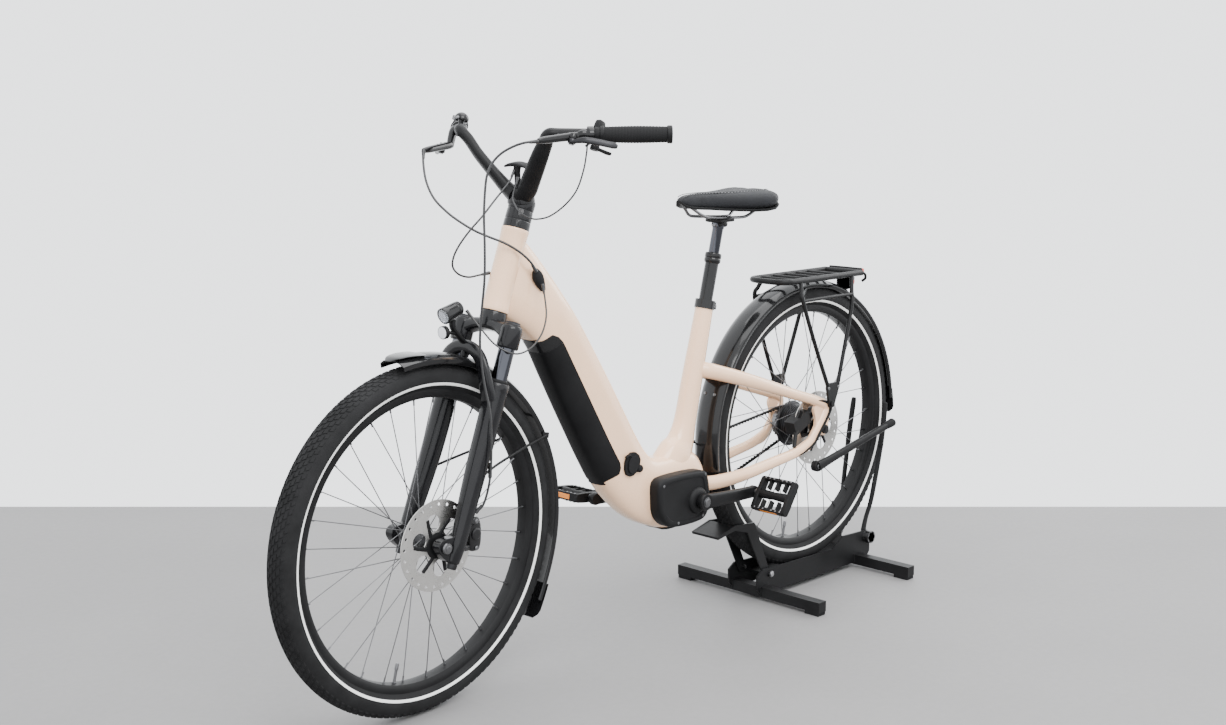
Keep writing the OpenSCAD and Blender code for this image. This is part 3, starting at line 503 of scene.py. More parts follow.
def shell_ring(row, grow=0.0, first=0.0, last=2 * math.pi, count=48, closed=True):
    ux, uz, lx, lz, w, power = row
    c = Vector(((ux + lx) / 2, 0, (uz + lz) / 2))
    d = Vector(((lx - ux) / 2, 0, (lz - uz) / 2))
    h = d.length
    d.normalize()
    out = []
    n = count if closed else count - 1
    for k in range(count):
        a = first + (last - first) * k / n
        x, y = math.cos(a), math.sin(a)
        x = math.copysign(abs(x) ** (2 / power), x) * (h + grow)
        y = math.copysign(abs(y) ** (2 / power), y) * (w + grow)
        out.append(c + d * x + Vector((0, y, 0)))
    return out


ROWS = curve([u + l + (w, p) for u, l, w, p in STATIONS], 5)
shell = rings_to_mesh([shell_ring(r) for r in ROWS])
def in_steering(part):
    """A part drawn in the steering frame without the rest turn, moved into the world, in millimetres."""
    m = Matrix.Translation(steer_pos / MM) @ Matrix.Rotation(HEAD - math.pi / 2, 4, "Y")
    return moved(part, m)


head = in_steering(lathe_part([(470, 20), (470, 27.6), (473, 28.6), (478, 27.8), (500, 27.4), (610, 27.2),
    (632, 27.8), (637, 28.6), (639, 27.8), (639, 20)], axis=UP, segments=48))
piece("frame_shell", [shell, head], CREAM, "frame", replaces="front_frame", smooth=60)

# Battery: the front and underside of the down tube, proud of it by a little.
battery_rows = [r for r in ROWS if 393 < (r[1] + r[3]) / 2 < 742 and r[0] > -24]


def battery_shell(rows, start, stop, grow, edge=0.20):
    outer, inner = [], []
    total = len(rows)
    for i, r in enumerate(rows):
        reach = min(i, total - 1 - i) / 3.4
        k = max(0.0, 1 - reach)
        share = edge + (0.93 - edge) * (1 - math.sqrt(max(0.0, 1 - k * k)))
        stop_a = math.acos(min(1.0, share) ** (r[5] / 2))
        outer.append(shell_ring(r, grow, -stop_a, stop_a, 25, False))
        inner.append(shell_ring(r, -3.0, -stop_a, stop_a, 25, False))
    rings = [o + list(reversed(i)) for o, i in zip(outer, inner)]
    return rings_to_mesh(rings[start:stop])


piece("battery_case", [battery_shell(battery_rows, 3, len(battery_rows), 1.6)], BATTERY, "battery",
    replaces="battery_pack", smooth=50, bevel=0.8)
piece("battery_top_cap", [battery_shell(battery_rows, 0, 4, 1.2)], BLACK_GLOSS, "battery", smooth=50,
    bevel=0.6)

seat_dir = Vector((-0.245, 0, 0.9695)).normalized()
seat_top = Vector((-230, 0, 726))


def on_seat(s):
    return seat_top + seat_dir * s


tube("seat_tube_shell", [(-118, 0, 372), (-133, 0, 398), (-150, 0, 424), (-166, 0, 470), on_seat(-180),
    on_seat(-100), on_seat(0)], [(36, 58), (34, 48), (28, 35), (25, 26), (24, 24.5), (22.5, 22.5),
    (20.5, 20.5)], CREAM, "frame", replaces="seat_tube", sides=32)


def stay_parts():
    upper = tube_part([(-204, 8, 583), (-230, 27, 576), (-330, 57, 545), (-470, 67, 498), (-574, 70, 464),
        (-598, 70, 450), (-594, 70, 430), (-556, 70, 386), (-541, 70, 371), (-505, 70, 357),
        (-470, 69, 350)], [(14, 19), (15, 18), (13, 16), (11, 13), (10, 12.5), (9.5, 11.5), (9.5, 11.5),
        (9.5, 11), (9.5, 11.5), (10, 12), (10, 12)], sides=20, steps=6)
    lower = tube_part([(-190, 24, 322), (-228, 36, 319), (-300, 60, 328), (-400, 67, 341), (-505, 70, 354),
        (-540, 70, 368)], [(12, 17), (13, 17), (12, 15), (11, 13.5), (9.5, 11.5), (7, 8)], sides=20,
        steps=6)
    web = plate_part([(-612, 452), (-570, 462), (-548, 452), (-562, 420), (-556, 396), (-536, 376),
        (-490, 362), (-480, 344), (-530, 346), (-556, 362), (-578, 384), (-606, 384), (-612, 412)], 66.5,
        73.5, 2)
    boss = lathe_part([(63.5, 8), (63.5, 14.5), (66, 16), (74, 16), (76.5, 14), (76.5, 8)], REAR_AXLE,
        segments=32)
    return upper, lower, web, boss


stays = []
for part in stay_parts():
    stays += both(part)
stays.append(tube_part([(-222, -34, 320), (-222, 0, 320), (-222, 34, 320)], 11, steps=2, side=UP))
piece("rear_triangle_tubes", stays, CREAM, "frame", replaces="rear_triangle", smooth=50, bevel=0.8)
guard = tube_part([(-560, 74, 470), (-592, 76, 462), (-609, 76, 448), (-603, 76, 430), (-566, 76, 386),
    (-548, 75, 366), (-508, 75, 350), (-480, 74, 346)], [(6, 3), (7, 4), (7, 4.5), (7, 4.5), (7, 4.5),
    (7, 4), (6, 3.5), (4, 2)], sides=12, steps=6)
piece("stay_guards", both(guard), RUBBER, "frame", smooth=50)

# --- motor covers ---

COVER = [(-174, 352), (-158, 368), (-30, 370), (-10, 362), (-5, 346), (-9, 290), (-34, 257), (-70, 249),
    (-152, 249), (-173, 262), (-180, 300)]


def shrunk(outline, k):
    cx = sum(p[0] for p in outline) / len(outline)
    cz = sum(p[1] for p in outline) / len(outline)
    return [(cx + (x - cx) * k, cz + (z - cz) * k) for x, z in outline]


def rounded_outline(outline, rounds=2):
    part = plate_part(outline, 0, 1, rounds)
    return [(v[0], v[2]) for v in part[0][: len(part[0]) // 2]]


def stepped_cover(outline, levels):
    """A dished cover: (side distance, size) rings of one outline, closed over at the end."""
    base = rounded_outline(outline)
    return rings_to_mesh([[(x, y, z) for x, z in shrunk(base, k)] for y, k in levels])


cover_left = stepped_cover(COVER, [(38.5, 0.98), (38.5, 1.0), (60, 1.0), (65, 0.985), (67.6, 0.955),
    (68.8, 0.91), (69, 0.84), (68.8, 0.80), (67.2, 0.785), (67.0, 0.74), (67.0, 0.3)])
cover_right = stepped_cover(COVER, [(-38.5, 0.98), (-38.5, 1.0), (-42.4, 0.99), (-43.8, 0.95), (-44, 0.8)])
collar = lathe_part([(60, 12.6), (60, 30), (69, 30), (73, 27), (76, 22), (76, 12.6)], CRANK, segments=40)
piece("motor_cover_shells", [cover_left, cover_right, collar], PLASTIC, "frame", replaces="motor_covers",
    smooth=40)
screws = []
for x, z in ((-160, 356), (-22, 352), (-152, 262), (-70, 260)):
    screws += bolt_part((x, 68.2, z), LEFT, 3.2, 1.6)
piece("motor_cover_screws", screws, DARK_STEEL, "frame")
paint("motor_unit", ANODISED, 1.0)
skid = plate_part([(-60, 238), (-96, 231), (-140, 236), (-150, 243), (-120, 240), (-88, 238)], -20, 20, 1)
piece("motor_skid", [skid], PLASTIC, "frame", bevel=1)

# --- drive ---


def arm_part(x0, z0, x1, z1, y, sy):
    mid = [(x0 + (x1 - x0) * k, y + sy * s, z0 + (z1 - z0) * k) for k, s in ((0.0, 0), (0.12, 0),
        (0.5, 1.5), (0.88, 0), (1, 0))]
    body_part = tube_part(mid, [(8, 18), (8, 17), (7.6, 15), (7.4, 14), (7.2, 14)], sides=20, power=3.0,
        dome=7)
    eye = lathe_part([(y - 7, 7.1), (y - 7, 13), (y - 5, 14), (y + 5, 14), (y + 7, 13), (y + 7, 7.1)],
        (x1, 0, z1))
    hub_part = lathe_part([(y - 7.5, 12.2), (y - 7.5, 18), (y - 5, 19.5), (y + 5, 19.5), (y + 7.5, 18),
        (y + 7.5, 12.2)], (x0, 0, z0), segments=36)
    return [body_part, eye, hub_part]


left_axle = Vector(JOINTS["left_pedal_turn"]["pos_m"]) / MM
right_axle = Vector(JOINTS["right_pedal_turn"]["pos_m"]) / MM
arms = arm_part(CRANK[0], CRANK[2], left_axle.x, left_axle.z, 89, 1) + arm_part(CRANK[0], CRANK[2],
    right_axle.x, right_axle.z, -89, -1)
arms.append(lathe_part([(-97, 3), (-97, 12), (97, 12), (97, 3)], CRANK))
piece("crank_arm_forgings", arms, BLACK_COAT, "crankset", replaces="crank_arms", smooth=40)
caps = []
for s in (1, -1):
    caps += bolt_part((-135, s * 97, 300), (0, s, 0), 9, 2.5)
    caps.append(lathe_part([(s * 96.5, 7.4), (s * 97.2, 8.4), (s * 97.2, 11), (s * 96.5, 12)], CRANK,
        segments=32, close=True))
piece("crank_bolts", caps, DARK_STEEL, "crankset")
paint("front_sprocket", ANODISED, 0.5, 25)
paint("rear_sprocket", DARK_STEEL, 0, 25)
paint("drive_belt", RUBBER, 0, 25)


def belt_teeth():
    """Small ribs on the belt's inner face, at the pitch of the sprockets' teeth."""
    a, b = Vector((CRANK[0], CRANK[2])), Vector((REAR_AXLE[0], REAR_AXLE[2]))
    ra, rb = 80.5, 38.5
    d = b - a
    span = d.length
    base = math.atan2(d.y, d.x)
    lean = math.asin((ra - rb) / span)
    parts = []
    for sign in (1, -1):
        normal = base + sign * (math.pi / 2 - lean)
        n = Vector((math.cos(normal), math.sin(normal)))
        p, q = a + n * ra, b + n * rb
        length = (q - p).length
        count = int(length / 11)
        t = (q - p).normalized()
        for i in range(1, count):
            c = p + t * (i * 11) - n * 0.6
            turn = Matrix.Rotation(-math.atan2(t.y, t.x), 3, "Y")
            parts.append(box_part((c.x, -52, c.y), (5, 7.6, 2.6), turn))
    return parts


piece("belt_ribs", belt_teeth(), RUBBER, "frame", bevel=0.5)


def pedal_parts(axle, side, tilt):
    """A flat cage pedal round its spindle, which lies along Y."""
    y0, y1 = side * 104, side * 200
    ym = (y0 + y1) / 2
    turned = Matrix.Translation((axle.x, 0, axle.z)) @ Matrix.Rotation(math.radians(tilt), 4, "Y")

    def local(part):
        return moved(part, turned)

    cage, lamps = [], []
    frame_outline = [(-41, -6), (-36, -11), (36, -11), (41, -6), (41, 6), (36, 11), (-36, 11), (-41, 6)]
    for y in (y0 + side * 5, y1 - side * 5):
        cage.append(local(plate_part(frame_outline, y - 4.8, y + 4.8, 1)))
    for x in (-37, 37):
        cage.append(local(box_part((x, ym, 0), (7, abs(y1 - y0) - 8, 19))))
        lamps.append(local(box_part((x + math.copysign(3.4, x), ym, 0), (1.6, 46, 11))))
    cage.append(local(lathe_part([(ym - 44, 9), (ym - 40, 11), (ym - 14, 10), (ym, 9), (ym + 14, 10),
        (ym + 40, 11), (ym + 44, 9)], segments=24)))
    for dy in (-22, 0, 22):
        for x in (-24, 24):
            cage.append(local(box_part((x, ym + dy, 0), (22, 5, 14))))
    studs = []
    for z in (-1, 1):
        for x in (-37, 37):
            for dy in (-36, -24, -12, 12, 24, 36):
                studs.append(local(lathe_part([(z * 8, 2.4), (z * 10.2, 2.4), (z * 10.9, 1.4)],
                    (x, ym + dy, 0), UP, 8)))
    spindle = [lathe_part([(side * 83, 4), (side * 83, 7), (side * 99, 7), (side * 99, 9), (side * 104, 9),
        (side * 104, 4)], (axle.x, 0, axle.z), segments=24)]
    return cage, lamps, studs, spindle


for label, axle, side, tilt in (("left", left_axle, 1, 56), ("right", right_axle, -1, -6)):
    cage, lamps, studs, spindle = pedal_parts(axle, side, tilt)
    body = "pedal_" + label
    piece(label + "_pedal_cage", cage, PLASTIC, body, replaces=label + "_pedal", bevel=1.2)
    piece(label + "_pedal_reflectors", lamps, ORANGE, body, bevel=0.5)
    piece(label + "_pedal_studs", studs, DARK_STEEL, body)
    piece(label + "_pedal_spindle", spindle, DARK_STEEL, body)

# --- rear fender, rack, light, kickstand and caliper ---


def fender_profile(crown, edge, half, wall):
    outer = [(-half, edge), (-half + 0.6, edge + 8), (-half + 3.5, crown - 7), (-half + 11, crown - 2.4),
        (-half + 20, crown), (0, crown + 0.8), (half - 20, crown), (half - 11, crown - 2.4),
        (half - 3.5, crown - 7), (half - 0.6, edge + 8), (half, edge)]
    return outer + [(y * (1 - wall / half), r - wall) for y, r in reversed(outer)]


def fender_part(crown, half, a0, a1, steps=64, tail=None):
    rings = []
    for i in range(steps + 1):
        a = math.radians(a0 + (a1 - a0) * i / steps)
        k = max(0.0, (i / steps - 0.9) / 0.1) if tail else 0.0
        h = half + (tail or 0) * k * k
        rings.append([(r * math.cos(a), y, r * math.sin(a)) for y, r in fender_profile(crown, crown - 17, h,
            1.8)])
    return rings_to_mesh(rings)


def flap_part(a0, a1, r0, half, flare, steps=8):
    rings = []
    for i in range(steps + 1):
        k = i / steps
        a = math.radians(a0 + (a1 - a0) * k)
        r, h = r0 + flare * k * k, half + 2.5 * math.sin(k * math.pi * 0.5)
        h *= 1 - 0.35 * max(0.0, k - 0.75) ** 2 * 16
        ring = []
        for y, d in ((-1, 0), (-0.85, 2), (0, 3.2), (0.85, 2), (1, 0), (0.9, -1.2), (0, 0.8), (-0.9, -1.2)):
            ring.append(((r + d) * math.cos(a), y * h, (r + d) * math.sin(a)))
        rings.append(ring)
    return rings_to_mesh(rings)


rear_centre = Vector(REAR_AXLE)
piece("rear_fender_blade", [moved(fender_part(360, 34, -9, 176), Matrix.Translation(rear_centre)),
    moved(flap_part(172, 182.5, 353.5, 33, 2.2), Matrix.Translation(rear_centre))] + both(tube_part([(-560,
    34, 736), (-530, 52, 726), (-507, 70, 712)], 3.6, sides=12, steps=3)), BLACK_GLOSS, "frame",
    replaces="rear_fender", smooth=50)
rivets = []
for a in (20, 95, 150):
    t = math.radians(a)
    d = Vector((math.cos(t), 0, math.sin(t)))
    for y in (-14, 14):
        rivets += [lathe_part([(0, 4), (1.2, 4), (2.4, 2)], rear_centre + d * 359.6 + Vector((0, y, 0)), d,
            14)]
piece("rear_fender_rivets", rivets, DARK_STEEL, "frame")

DECK = 762
rail = [(-758, -56, DECK), (-620, -56, DECK), (-490, -56, DECK), (-462, -50, DECK), (-451, -30, DECK),
    (-450, 0, DECK), (-451, 30, DECK), (-462, 50, DECK), (-490, 56, DECK), (-620, 56, DECK),
    (-758, 56, DECK)]
rack = [tube_part(rail, 7, sides=18)]
for x in (-500, -545, -590, -635, -680):
    rack.append(tube_part([(x, -54, DECK + 0.5), (x, 0, DECK + 0.5), (x, 54, DECK + 0.5)], 4.6, sides=14,
        steps=2))
rack.append(tube_part([(-758, -56, DECK), (-758, 0, DECK), (-758, 56, DECK)], 7, sides=18, steps=2))
for leg in (((-512, 56, DECK - 2), (-503, 66, 738), (-500, 74, 712), (-540, 80, 610), (-590, 84, 502)),
        ((-716, 56, DECK - 2), (-703, 66, 726), (-694, 74, 690), (-664, 79, 600), (-630, 84, 502))):
    rack += both(tube_part(leg, 5, steps=6))
rack += both(tube_part([(-498, 73, 716), (-600, 73, 716.5), (-696, 73, 716)], 4, sides=12, steps=2))
rack += both(plate_part([(-640, 508), (-582, 508), (-592, 470), (-597, 446), (-614, 446), (-624, 470)],
    80.5, 86.5, 1))
rack += both(lathe_part([(74, 5), (74, 7), (90, 7), (90, 4)], (-606, 0, 456), segments=20))
rack.append(box_part((-766, 0, 742), (4, 50, 48)))
rack += both(tube_part([(-742, 56, DECK), (-760, 62, DECK - 2), (-768, 60, DECK - 14),
    (-764, 52, DECK - 22)], 3.4, sides=10, steps=4))
piece("rack_tubes", rack, BLACK_COAT, "frame", replaces="rear_rack", smooth=50, bevel=0.6)
spots = []
for x, y, z in ((-512, 61, DECK - 10), (-716, 61, DECK - 10), (-606, 88, 456), (-630, 86, 496),
        (-592, 86, 496), (-507, 72, 712)):
    for part in bolt_part((x, y - 1, z), LEFT, 4.2, 2.6):
        spots += both(part)
piece("rack_bolts", spots, DARK_STEEL, "frame")
lamp = lathe_part([(0, 4), (1.5, 17.5), (4, 19.6), (10, 20), (12, 18.8), (12.8, 15), (13.2, 4)],
    (-769, 0, 736), (-1, 0, 0), 40)
bar_light = tube_part([(-775, -47, DECK + 2), (-777.5, -24, DECK + 2), (-778, 0, DECK + 2),
    (-777.5, 24, DECK + 2), (-775, 47, DECK + 2)], (4.6, 6.6), sides=20, power=3.2, dome=1, side=(1, 0, 0))
piece("rack_light_lens", [lamp, bar_light], RED, "frame", replaces="rack_light", smooth=40)
shroud = tube_part([(-767, -48, DECK + 2), (-769, 0, DECK + 2), (-767, 48, DECK + 2)], (4.0, 8.4), sides=20,
    steps=5, power=3.2, side=(1, 0, 0), dome=1)
piece("rack_light_housing", [shroud, lathe_part([(0, 21.5), (5, 22), (7, 20.4)], (-764, 0, 736), (-1, 0, 0),
    40)], PLASTIC, "frame", smooth=40)

kick = Vector((-545, 86, 312))
kick_dir = Vector((-0.955, 0.085, 0.25))
k0 = kick + Vector((0, 8, 0))
leg = [k0 + kick_dir * d for d in (0, 20, 60, 140, 220, 268)]
stand_leg = [tube_part(leg, [(8, 13), (8, 11.5), (8, 9.6), (8.4, 8.8), (8.4, 8.4), (8.6, 8.2)], sides=20,
    steps=4, power=2.4), lathe_part([(-5, 6), (-5, 12.4), (-3.5, 13), (8.5, 13), (10, 12), (10, 6)], kick,
    segments=32)]
piece("kickstand_leg_tube", stand_leg, BLACK_COAT, "kickstand_leg", replaces="kickstand", smooth=40)
foot = [tube_part([k0 + kick_dir * d for d in (262, 274, 286)], [(9.4, 9.2), (10.6, 10), (11, 10.4)],
    sides=20, steps=4, dome=6)]
piece("kickstand_foot", foot, RUBBER, "kickstand_leg", smooth=45)
pivot = bolt_part(kick + Vector((0, 9.6, 0)), LEFT, 6.5, 3)
piece("kickstand_pivot_bolt", pivot, DARK_STEEL, "kickstand_leg")

paint("rear_caliper", BLACK_COAT, 1.6, 30)
paint("seat_clamp", BLACK_GLOSS, 0.6)
piece("seat_clamp_bolt", bolt_part(seat_top + Vector((-24, 8, -4)), LEFT, 4.4, 4) + [lathe_part([(0, 4.4),
    (3, 4.4)], seat_top + Vector((-24, -11, -4)), LEFT, 16)], DARK_STEEL, "frame")
guide = [tube_part([(306, 35, 812), (314, 37, 826), (322, 38, 840), (330, 40, 852)],
    [(7, 5), (8, 10), (8, 12), (5, 7)], sides=20, power=2.6, dome=3)]
piece("cable_guide_boot", guide, RUBBER, "frame", replaces="cable_guide", smooth=50)
plug = [(26, 424), (31, 396), (56, 382), (75, 393), (73, 427), (48, 440)]
flap = [plate_part(plug, 38.4, 45, 1), plate_part(shrunk(plug, 0.72), 44.6, 48.5, 1),
    lathe_part([(40, 2), (40, 8.6), (47, 8.6), (50, 6.4), (50.6, 2)], (31, 0, 398), segments=28),
    tube_part([(60, 45.4, 430), (66, 45.8, 433), (73, 44.6, 429)], (4.2, 2.2), sides=12, steps=3, dome=1)]
piece("charge_flap_rubber", flap, RUBBER, "charge_flap", replaces="charge_cover", bevel=1.4, smooth=40)

# --- seat post and saddle ---

outer = lathe_part([(-170, 12.6), (-170, 15.5), (96, 15.5), (98, 17.6), (101, 18.8), (106, 19), (108, 18),
    (110, 18.9), (115, 19), (119, 18.4), (120, 17), (120, 12.6)], seat_top, seat_dir, 40)
piece("post_sleeve", [outer], BLACK_GLOSS, "frame", replaces="post_outer", smooth=35)
inner = lathe_part([(0, 6), (0, 12.45), (175.6, 12.45), (178, 13.6), (188, 14.4), (188, 6)], seat_top,
    seat_dir, 40)
clamp = [tube_part([(-292, 0, 906), (-280, 0, 908), (-266, 0, 906)], [(13, 7), (15, 9), (13, 7)], sides=20,
    steps=4, power=2.6, dome=3), tube_part([(-303, 0, 916), (-280, 0, 917), (-257, 0, 916)],
    [(24, 4.5), (25.5, 6), (24, 4.5)], sides=24, steps=4, power=3.4, dome=2), tube_part([(-299, 0, 922),
    (-280, 0, 922.5), (-261, 0, 922)], [(25, 2.6), (25.6, 3), (25, 2.6)], sides=24, steps=3, power=3.4)]
piece("post_shaft", [inner], STANCHION, "seat", replaces="post_inner", smooth=35)
piece("seat_clamp_head", clamp, BLACK_COAT, "seat", smooth=45)
piece("seat_clamp_screws", bolt_part((-299, 0, 907), (-0.3, 0, -1), 4.4, 5) + bolt_part((-261, 0, 907),
    (0.3, 0, -1), 4.4, 5), DARK_STEEL, "seat")
rails = [tube_part([(-160, 9 * s, 956), (-178, 14 * s, 944), (-198, 21 * s, 931), (-225, 22 * s, 926),
    (-325, 22 * s, 921), (-350, 27 * s, 926), (-372, 33 * s, 940)], 3.5, sides=14, steps=6)
    for s in (1, -1)]
piece("saddle_rail_wires", rails, DARK_STEEL, "seat", replaces="saddle_rails", smooth=60)

# Saddle stations: distance along X, half width, height of the top and height of the lower edge.
SADDLE_ROWS = [(-139, 9, 968, 958), (-146, 15.5, 976, 951), (-162, 19, 981, 946), (-190, 22, 983, 943),
    (-222, 28, 983, 941), (-256, 41, 982.5, 938), (-290, 58, 983, 936), (-322, 75, 984, 934.5),
    (-350, 87, 985.5, 935), (-374, 91, 986.5, 938), (-392, 84, 986, 944), (-403, 66, 982, 952),
    (-407, 44, 976, 960)]


def saddle_ring(row, count=36):
    x, half, top, low = row
    mid = low + (top - low) * 0.42
    ring = []
    for k in range(count):
        a = 2 * math.pi * k / count
        c, s = math.cos(a), math.sin(a)
        y = half * math.copysign(abs(c) ** 0.82, c)
        if s >= 0:
            z = mid + (top - mid) * abs(s) ** 0.62
            z -= 3.2 * math.exp(-(y / 7.5) ** 2) * min(1.0, half / 40)
        else:
            z = mid - (mid - low) * abs(s) ** 0.5
        ring.append((x, y, z))
    return ring


VOXEL, PRESSURE, CLOTH_FRAMES = 0.005, 4.0, 20


def inflate(o, cap):
    """Voxel remesh, then twenty frames of pressure with every move kept under a cap."""
    bpy.context.view_layer.objects.active = o
    r = o.modifiers.new("even", "REMESH")
    r.mode, r.voxel_size = "VOXEL", VOXEL
    bpy.ops.object.modifier_apply(modifier=r.name)
    rest = [v.co.copy() for v in o.data.vertices]
    group = o.vertex_groups.new(name="held")
    low = min(p.z for p in rest)
    for i, p in enumerate(rest):
        group.add([i], max(0.0, min(1.0, (low + 0.022 - p.z) / 0.012)), "REPLACE")
    c = o.modifiers.new("fill", "CLOTH")
    c.settings.effector_weights.gravity = 0
    c.settings.use_pressure, c.settings.uniform_pressure_force = True, PRESSURE
    c.settings.vertex_group_mass = "held"
    c.settings.tension_stiffness = c.settings.compression_stiffness = 40
    c.settings.bending_stiffness = 4
    c.settings.quality = 6
    scene = bpy.context.scene
    for f in range(1, CLOTH_FRAMES + 1):
        scene.frame_set(f)
    dg = bpy.context.evaluated_depsgraph_get()
    done = [v.co.copy() for v in o.evaluated_get(dg).data.vertices]
    o.modifiers.remove(c)
    for v, a, b in zip(o.data.vertices, rest, done):
        step = b - a
        if step.length > cap:
            step *= cap / step.length
        v.co = a + step
    scene.frame_set(1)
    o.vertex_groups.clear()


cover_rows = [(x, max(4, h - 2.2), t - 2.2, l + 4) for x, h, t, l in SADDLE_ROWS]
saddle = piece("saddle_cover_pad", [rings_to_mesh([saddle_ring(r) for r in cover_rows])], SADDLE, "seat",
    smooth=180)
inflate(saddle, 0.0022)
for polygon in saddle.data.polygons:
    polygon.use_smooth = True
s = saddle.modifiers.new("even", "SMOOTH")
s.factor, s.iterations = 0.5, 4
s = saddle.modifiers.new("round", "SUBSURF")
s.levels = s.render_levels = 1
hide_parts("saddle")


def saddle_line(share, lift):
    """Points along the top of the saddle at a share of its half width."""
    out = []
    for x, half, top, low in SADDLE_ROWS[1:-1]:
        mid = low + (top - low) * 0.42
        y = half * share
        arch = max(0.0, 1 - abs(share) ** (1 / 0.41)) ** 0.5
        z = mid + (top - mid) * arch ** 0.62
        out.append((x, y, z + lift))
    return out


seams = [tube_part(saddle_line(share, -1.3), 0.8, sides=8, steps=4) for share in (0.52, -0.52)]
stitches = []
for share in (0.57, -0.57):
    line = curve(saddle_line(share, -0.75), 8)
    for i in range(0, len(line) - 1, 2):
        a, b = Vector(line[i]), Vector(line[i + 1])
        stitches.append(tube_part([a, (a + b) / 2, b], 0.5, sides=6, steps=1))
piece("saddle_seams", seams, RUBBER, "seat", smooth=60)
piece("saddle_stitches", stitches, PALE_GREY, "seat", smooth=60)
base_rows = [(x, h - 1.5, l + 7, l - 0.5) for x, h, t, l in SADDLE_ROWS]
rings = [[(x, y * h, z) for y, z in ((-1, t), (-0.6, t + 2), (0, t + 3), (0.6, t + 2), (1, t),
    (0.97, l + 2), (0.55, l + 3), (0, l + 5), (-0.55, l + 3), (-0.97, l + 2))] for x, h, t, l in base_rows]
piece("saddle_base_shell", [rings_to_mesh(rings)], PLASTIC, "seat", smooth=40, bevel=0.8)

# --- fork ---

crown = [tube_part([(8, -66, 428), (7, -52, 433), (3, -30, 440), (1, 0, 442), (3, 30, 440), (7, 52, 433),
    (8, 66, 428)], [(16, 17), (15, 17), (13, 20), (12, 24), (13, 20), (15, 17), (16, 17)], sides=24,
    steps=6, side=UP, power=2.6)]
for s in (1, -1):
    crown.append(lathe_part([(400, 16.1), (400, 20.5), (403, 22), (438, 22), (443, 21.4), (446, 19),
        (446, 12)], (8, s * FORK_HALF, 0), UP, 36))
crown.append(lathe_part([(436, 20), (438, 26.6), (452, 27), (464, 27), (469.4, 25.5), (469.4, 16)],
    (0, 0, 0), UP, 40))
crown.append(lathe_part([(440, 15), (640, 15)], (0, 0, 0), UP, 24))
steer_piece("fork_crown_forging", crown, FORK_BLACK, replaces="fork_crown", smooth=50, bevel=0.8)
tops = [lathe_part([(446, 14), (446, 17), (448, 17), (450, 15), (452, 15), (453.5, 13), (453.5, 5)],
    (8, s * FORK_HALF, 0), UP, 24) for s in (1, -1)]
steer_piece("fork_top_caps", tops, ANODISED, smooth=30)
paint("fork_stanchions", STANCHION)


def fork_leg_part(s):
    leg = tube_part([(8, FORK_HALF * s, 326), (8, FORK_HALF * s, 300), (8.2, 66.2 * s, 240),
        (9.4, 67.2 * s, 170), (11.8, 70 * s, 90), (14, 73.6 * s, 24), (15.4, 74 * s, 0), (16, 74 * s, -24)],
        [(22, 22), (21.6, 21.6), (21, 21.4), (20, 21), (17.6, 19), (14.4, 17), (13.4, 16), (11, 13.4)],
        sides=28, steps=6, power=2.3, dome=5)
    collar = lathe_part([(312, 21.6), (316, 22.6), (328, 22.8), (331, 21.4), (331, 16.1)],
        (8, FORK_HALF * s, 0), UP, 36)
    tip = plate_part([(6, -26), (28, -27), (54, -16), (66, -4), (64, 10), (50, 18), (30, 24), (12, 44),
        (2, 40)], 58 * s if s > 0 else -78, 78 * s if s > 0 else -58, 2)
    return [leg, collar, tip]


lowers = []
for s in (1, -1):
    lowers += fork_leg_part(s)
lowers.append(tube_part([(20, 66, 296), (34, 63, 320), (44, 56, 346), (50, 44, 368), (53, 24, 382),
    (54, 0, 386), (53, -24, 382), (50, -44, 368), (44, -56, 346), (34, -63, 320), (20, -66, 296)],
    [(13, 18), (9, 17), (8, 15), (8, 14), (8, 13.5), (8, 13.5), (8, 13.5), (8, 14), (8, 15), (9, 17),
    (13, 18)], sides=22, steps=6, side=(1, 0, 0), power=2.6))
steer_piece("fork_lower_casting", lowers, FORK_BLACK, "fork_slider", replaces="fork_lowers", smooth=50,
    bevel=1.2)
wipers = [lathe_part([(331, 17.5), (331, 20.6), (333.4, 20.8), (335, 18.4), (337, 17.4), (337, 16.15)],
    (8, FORK_HALF * s, 0), UP, 36) for s in (1, -1)]
steer_piece("fork_wiper_seals", wipers, RUBBER, "fork_slider", smooth=30)
knobs = [lathe_part([(-27, 10), (-31, 10.4), (-37, 9.6), (-38, 7), (-38, 3)], (16, 74 * s, 0), UP, 20)
    for s in (1, -1)]
steer_piece("fork_bottom_knobs", knobs, ANODISED, "fork_slider")
nuts = []
for s in (1, -1):
    nuts.append(lathe_part([(s * 78, 11), (s * 81, 11.4), (s * 84, 10), (s * 84.6, 6)], (46, 0, 0),
        segments=28))
    nuts += bolt_part((46, s * 84, 0), (0, s, 0), 6, 2)
nuts.append(lathe_part([(-79, 5.95), (79, 5.95)], (46, 0, 0), segments=24))
steer_piece("front_axle_nuts", nuts, DARK_STEEL, "fork_slider", replaces="front_axle", smooth=30)


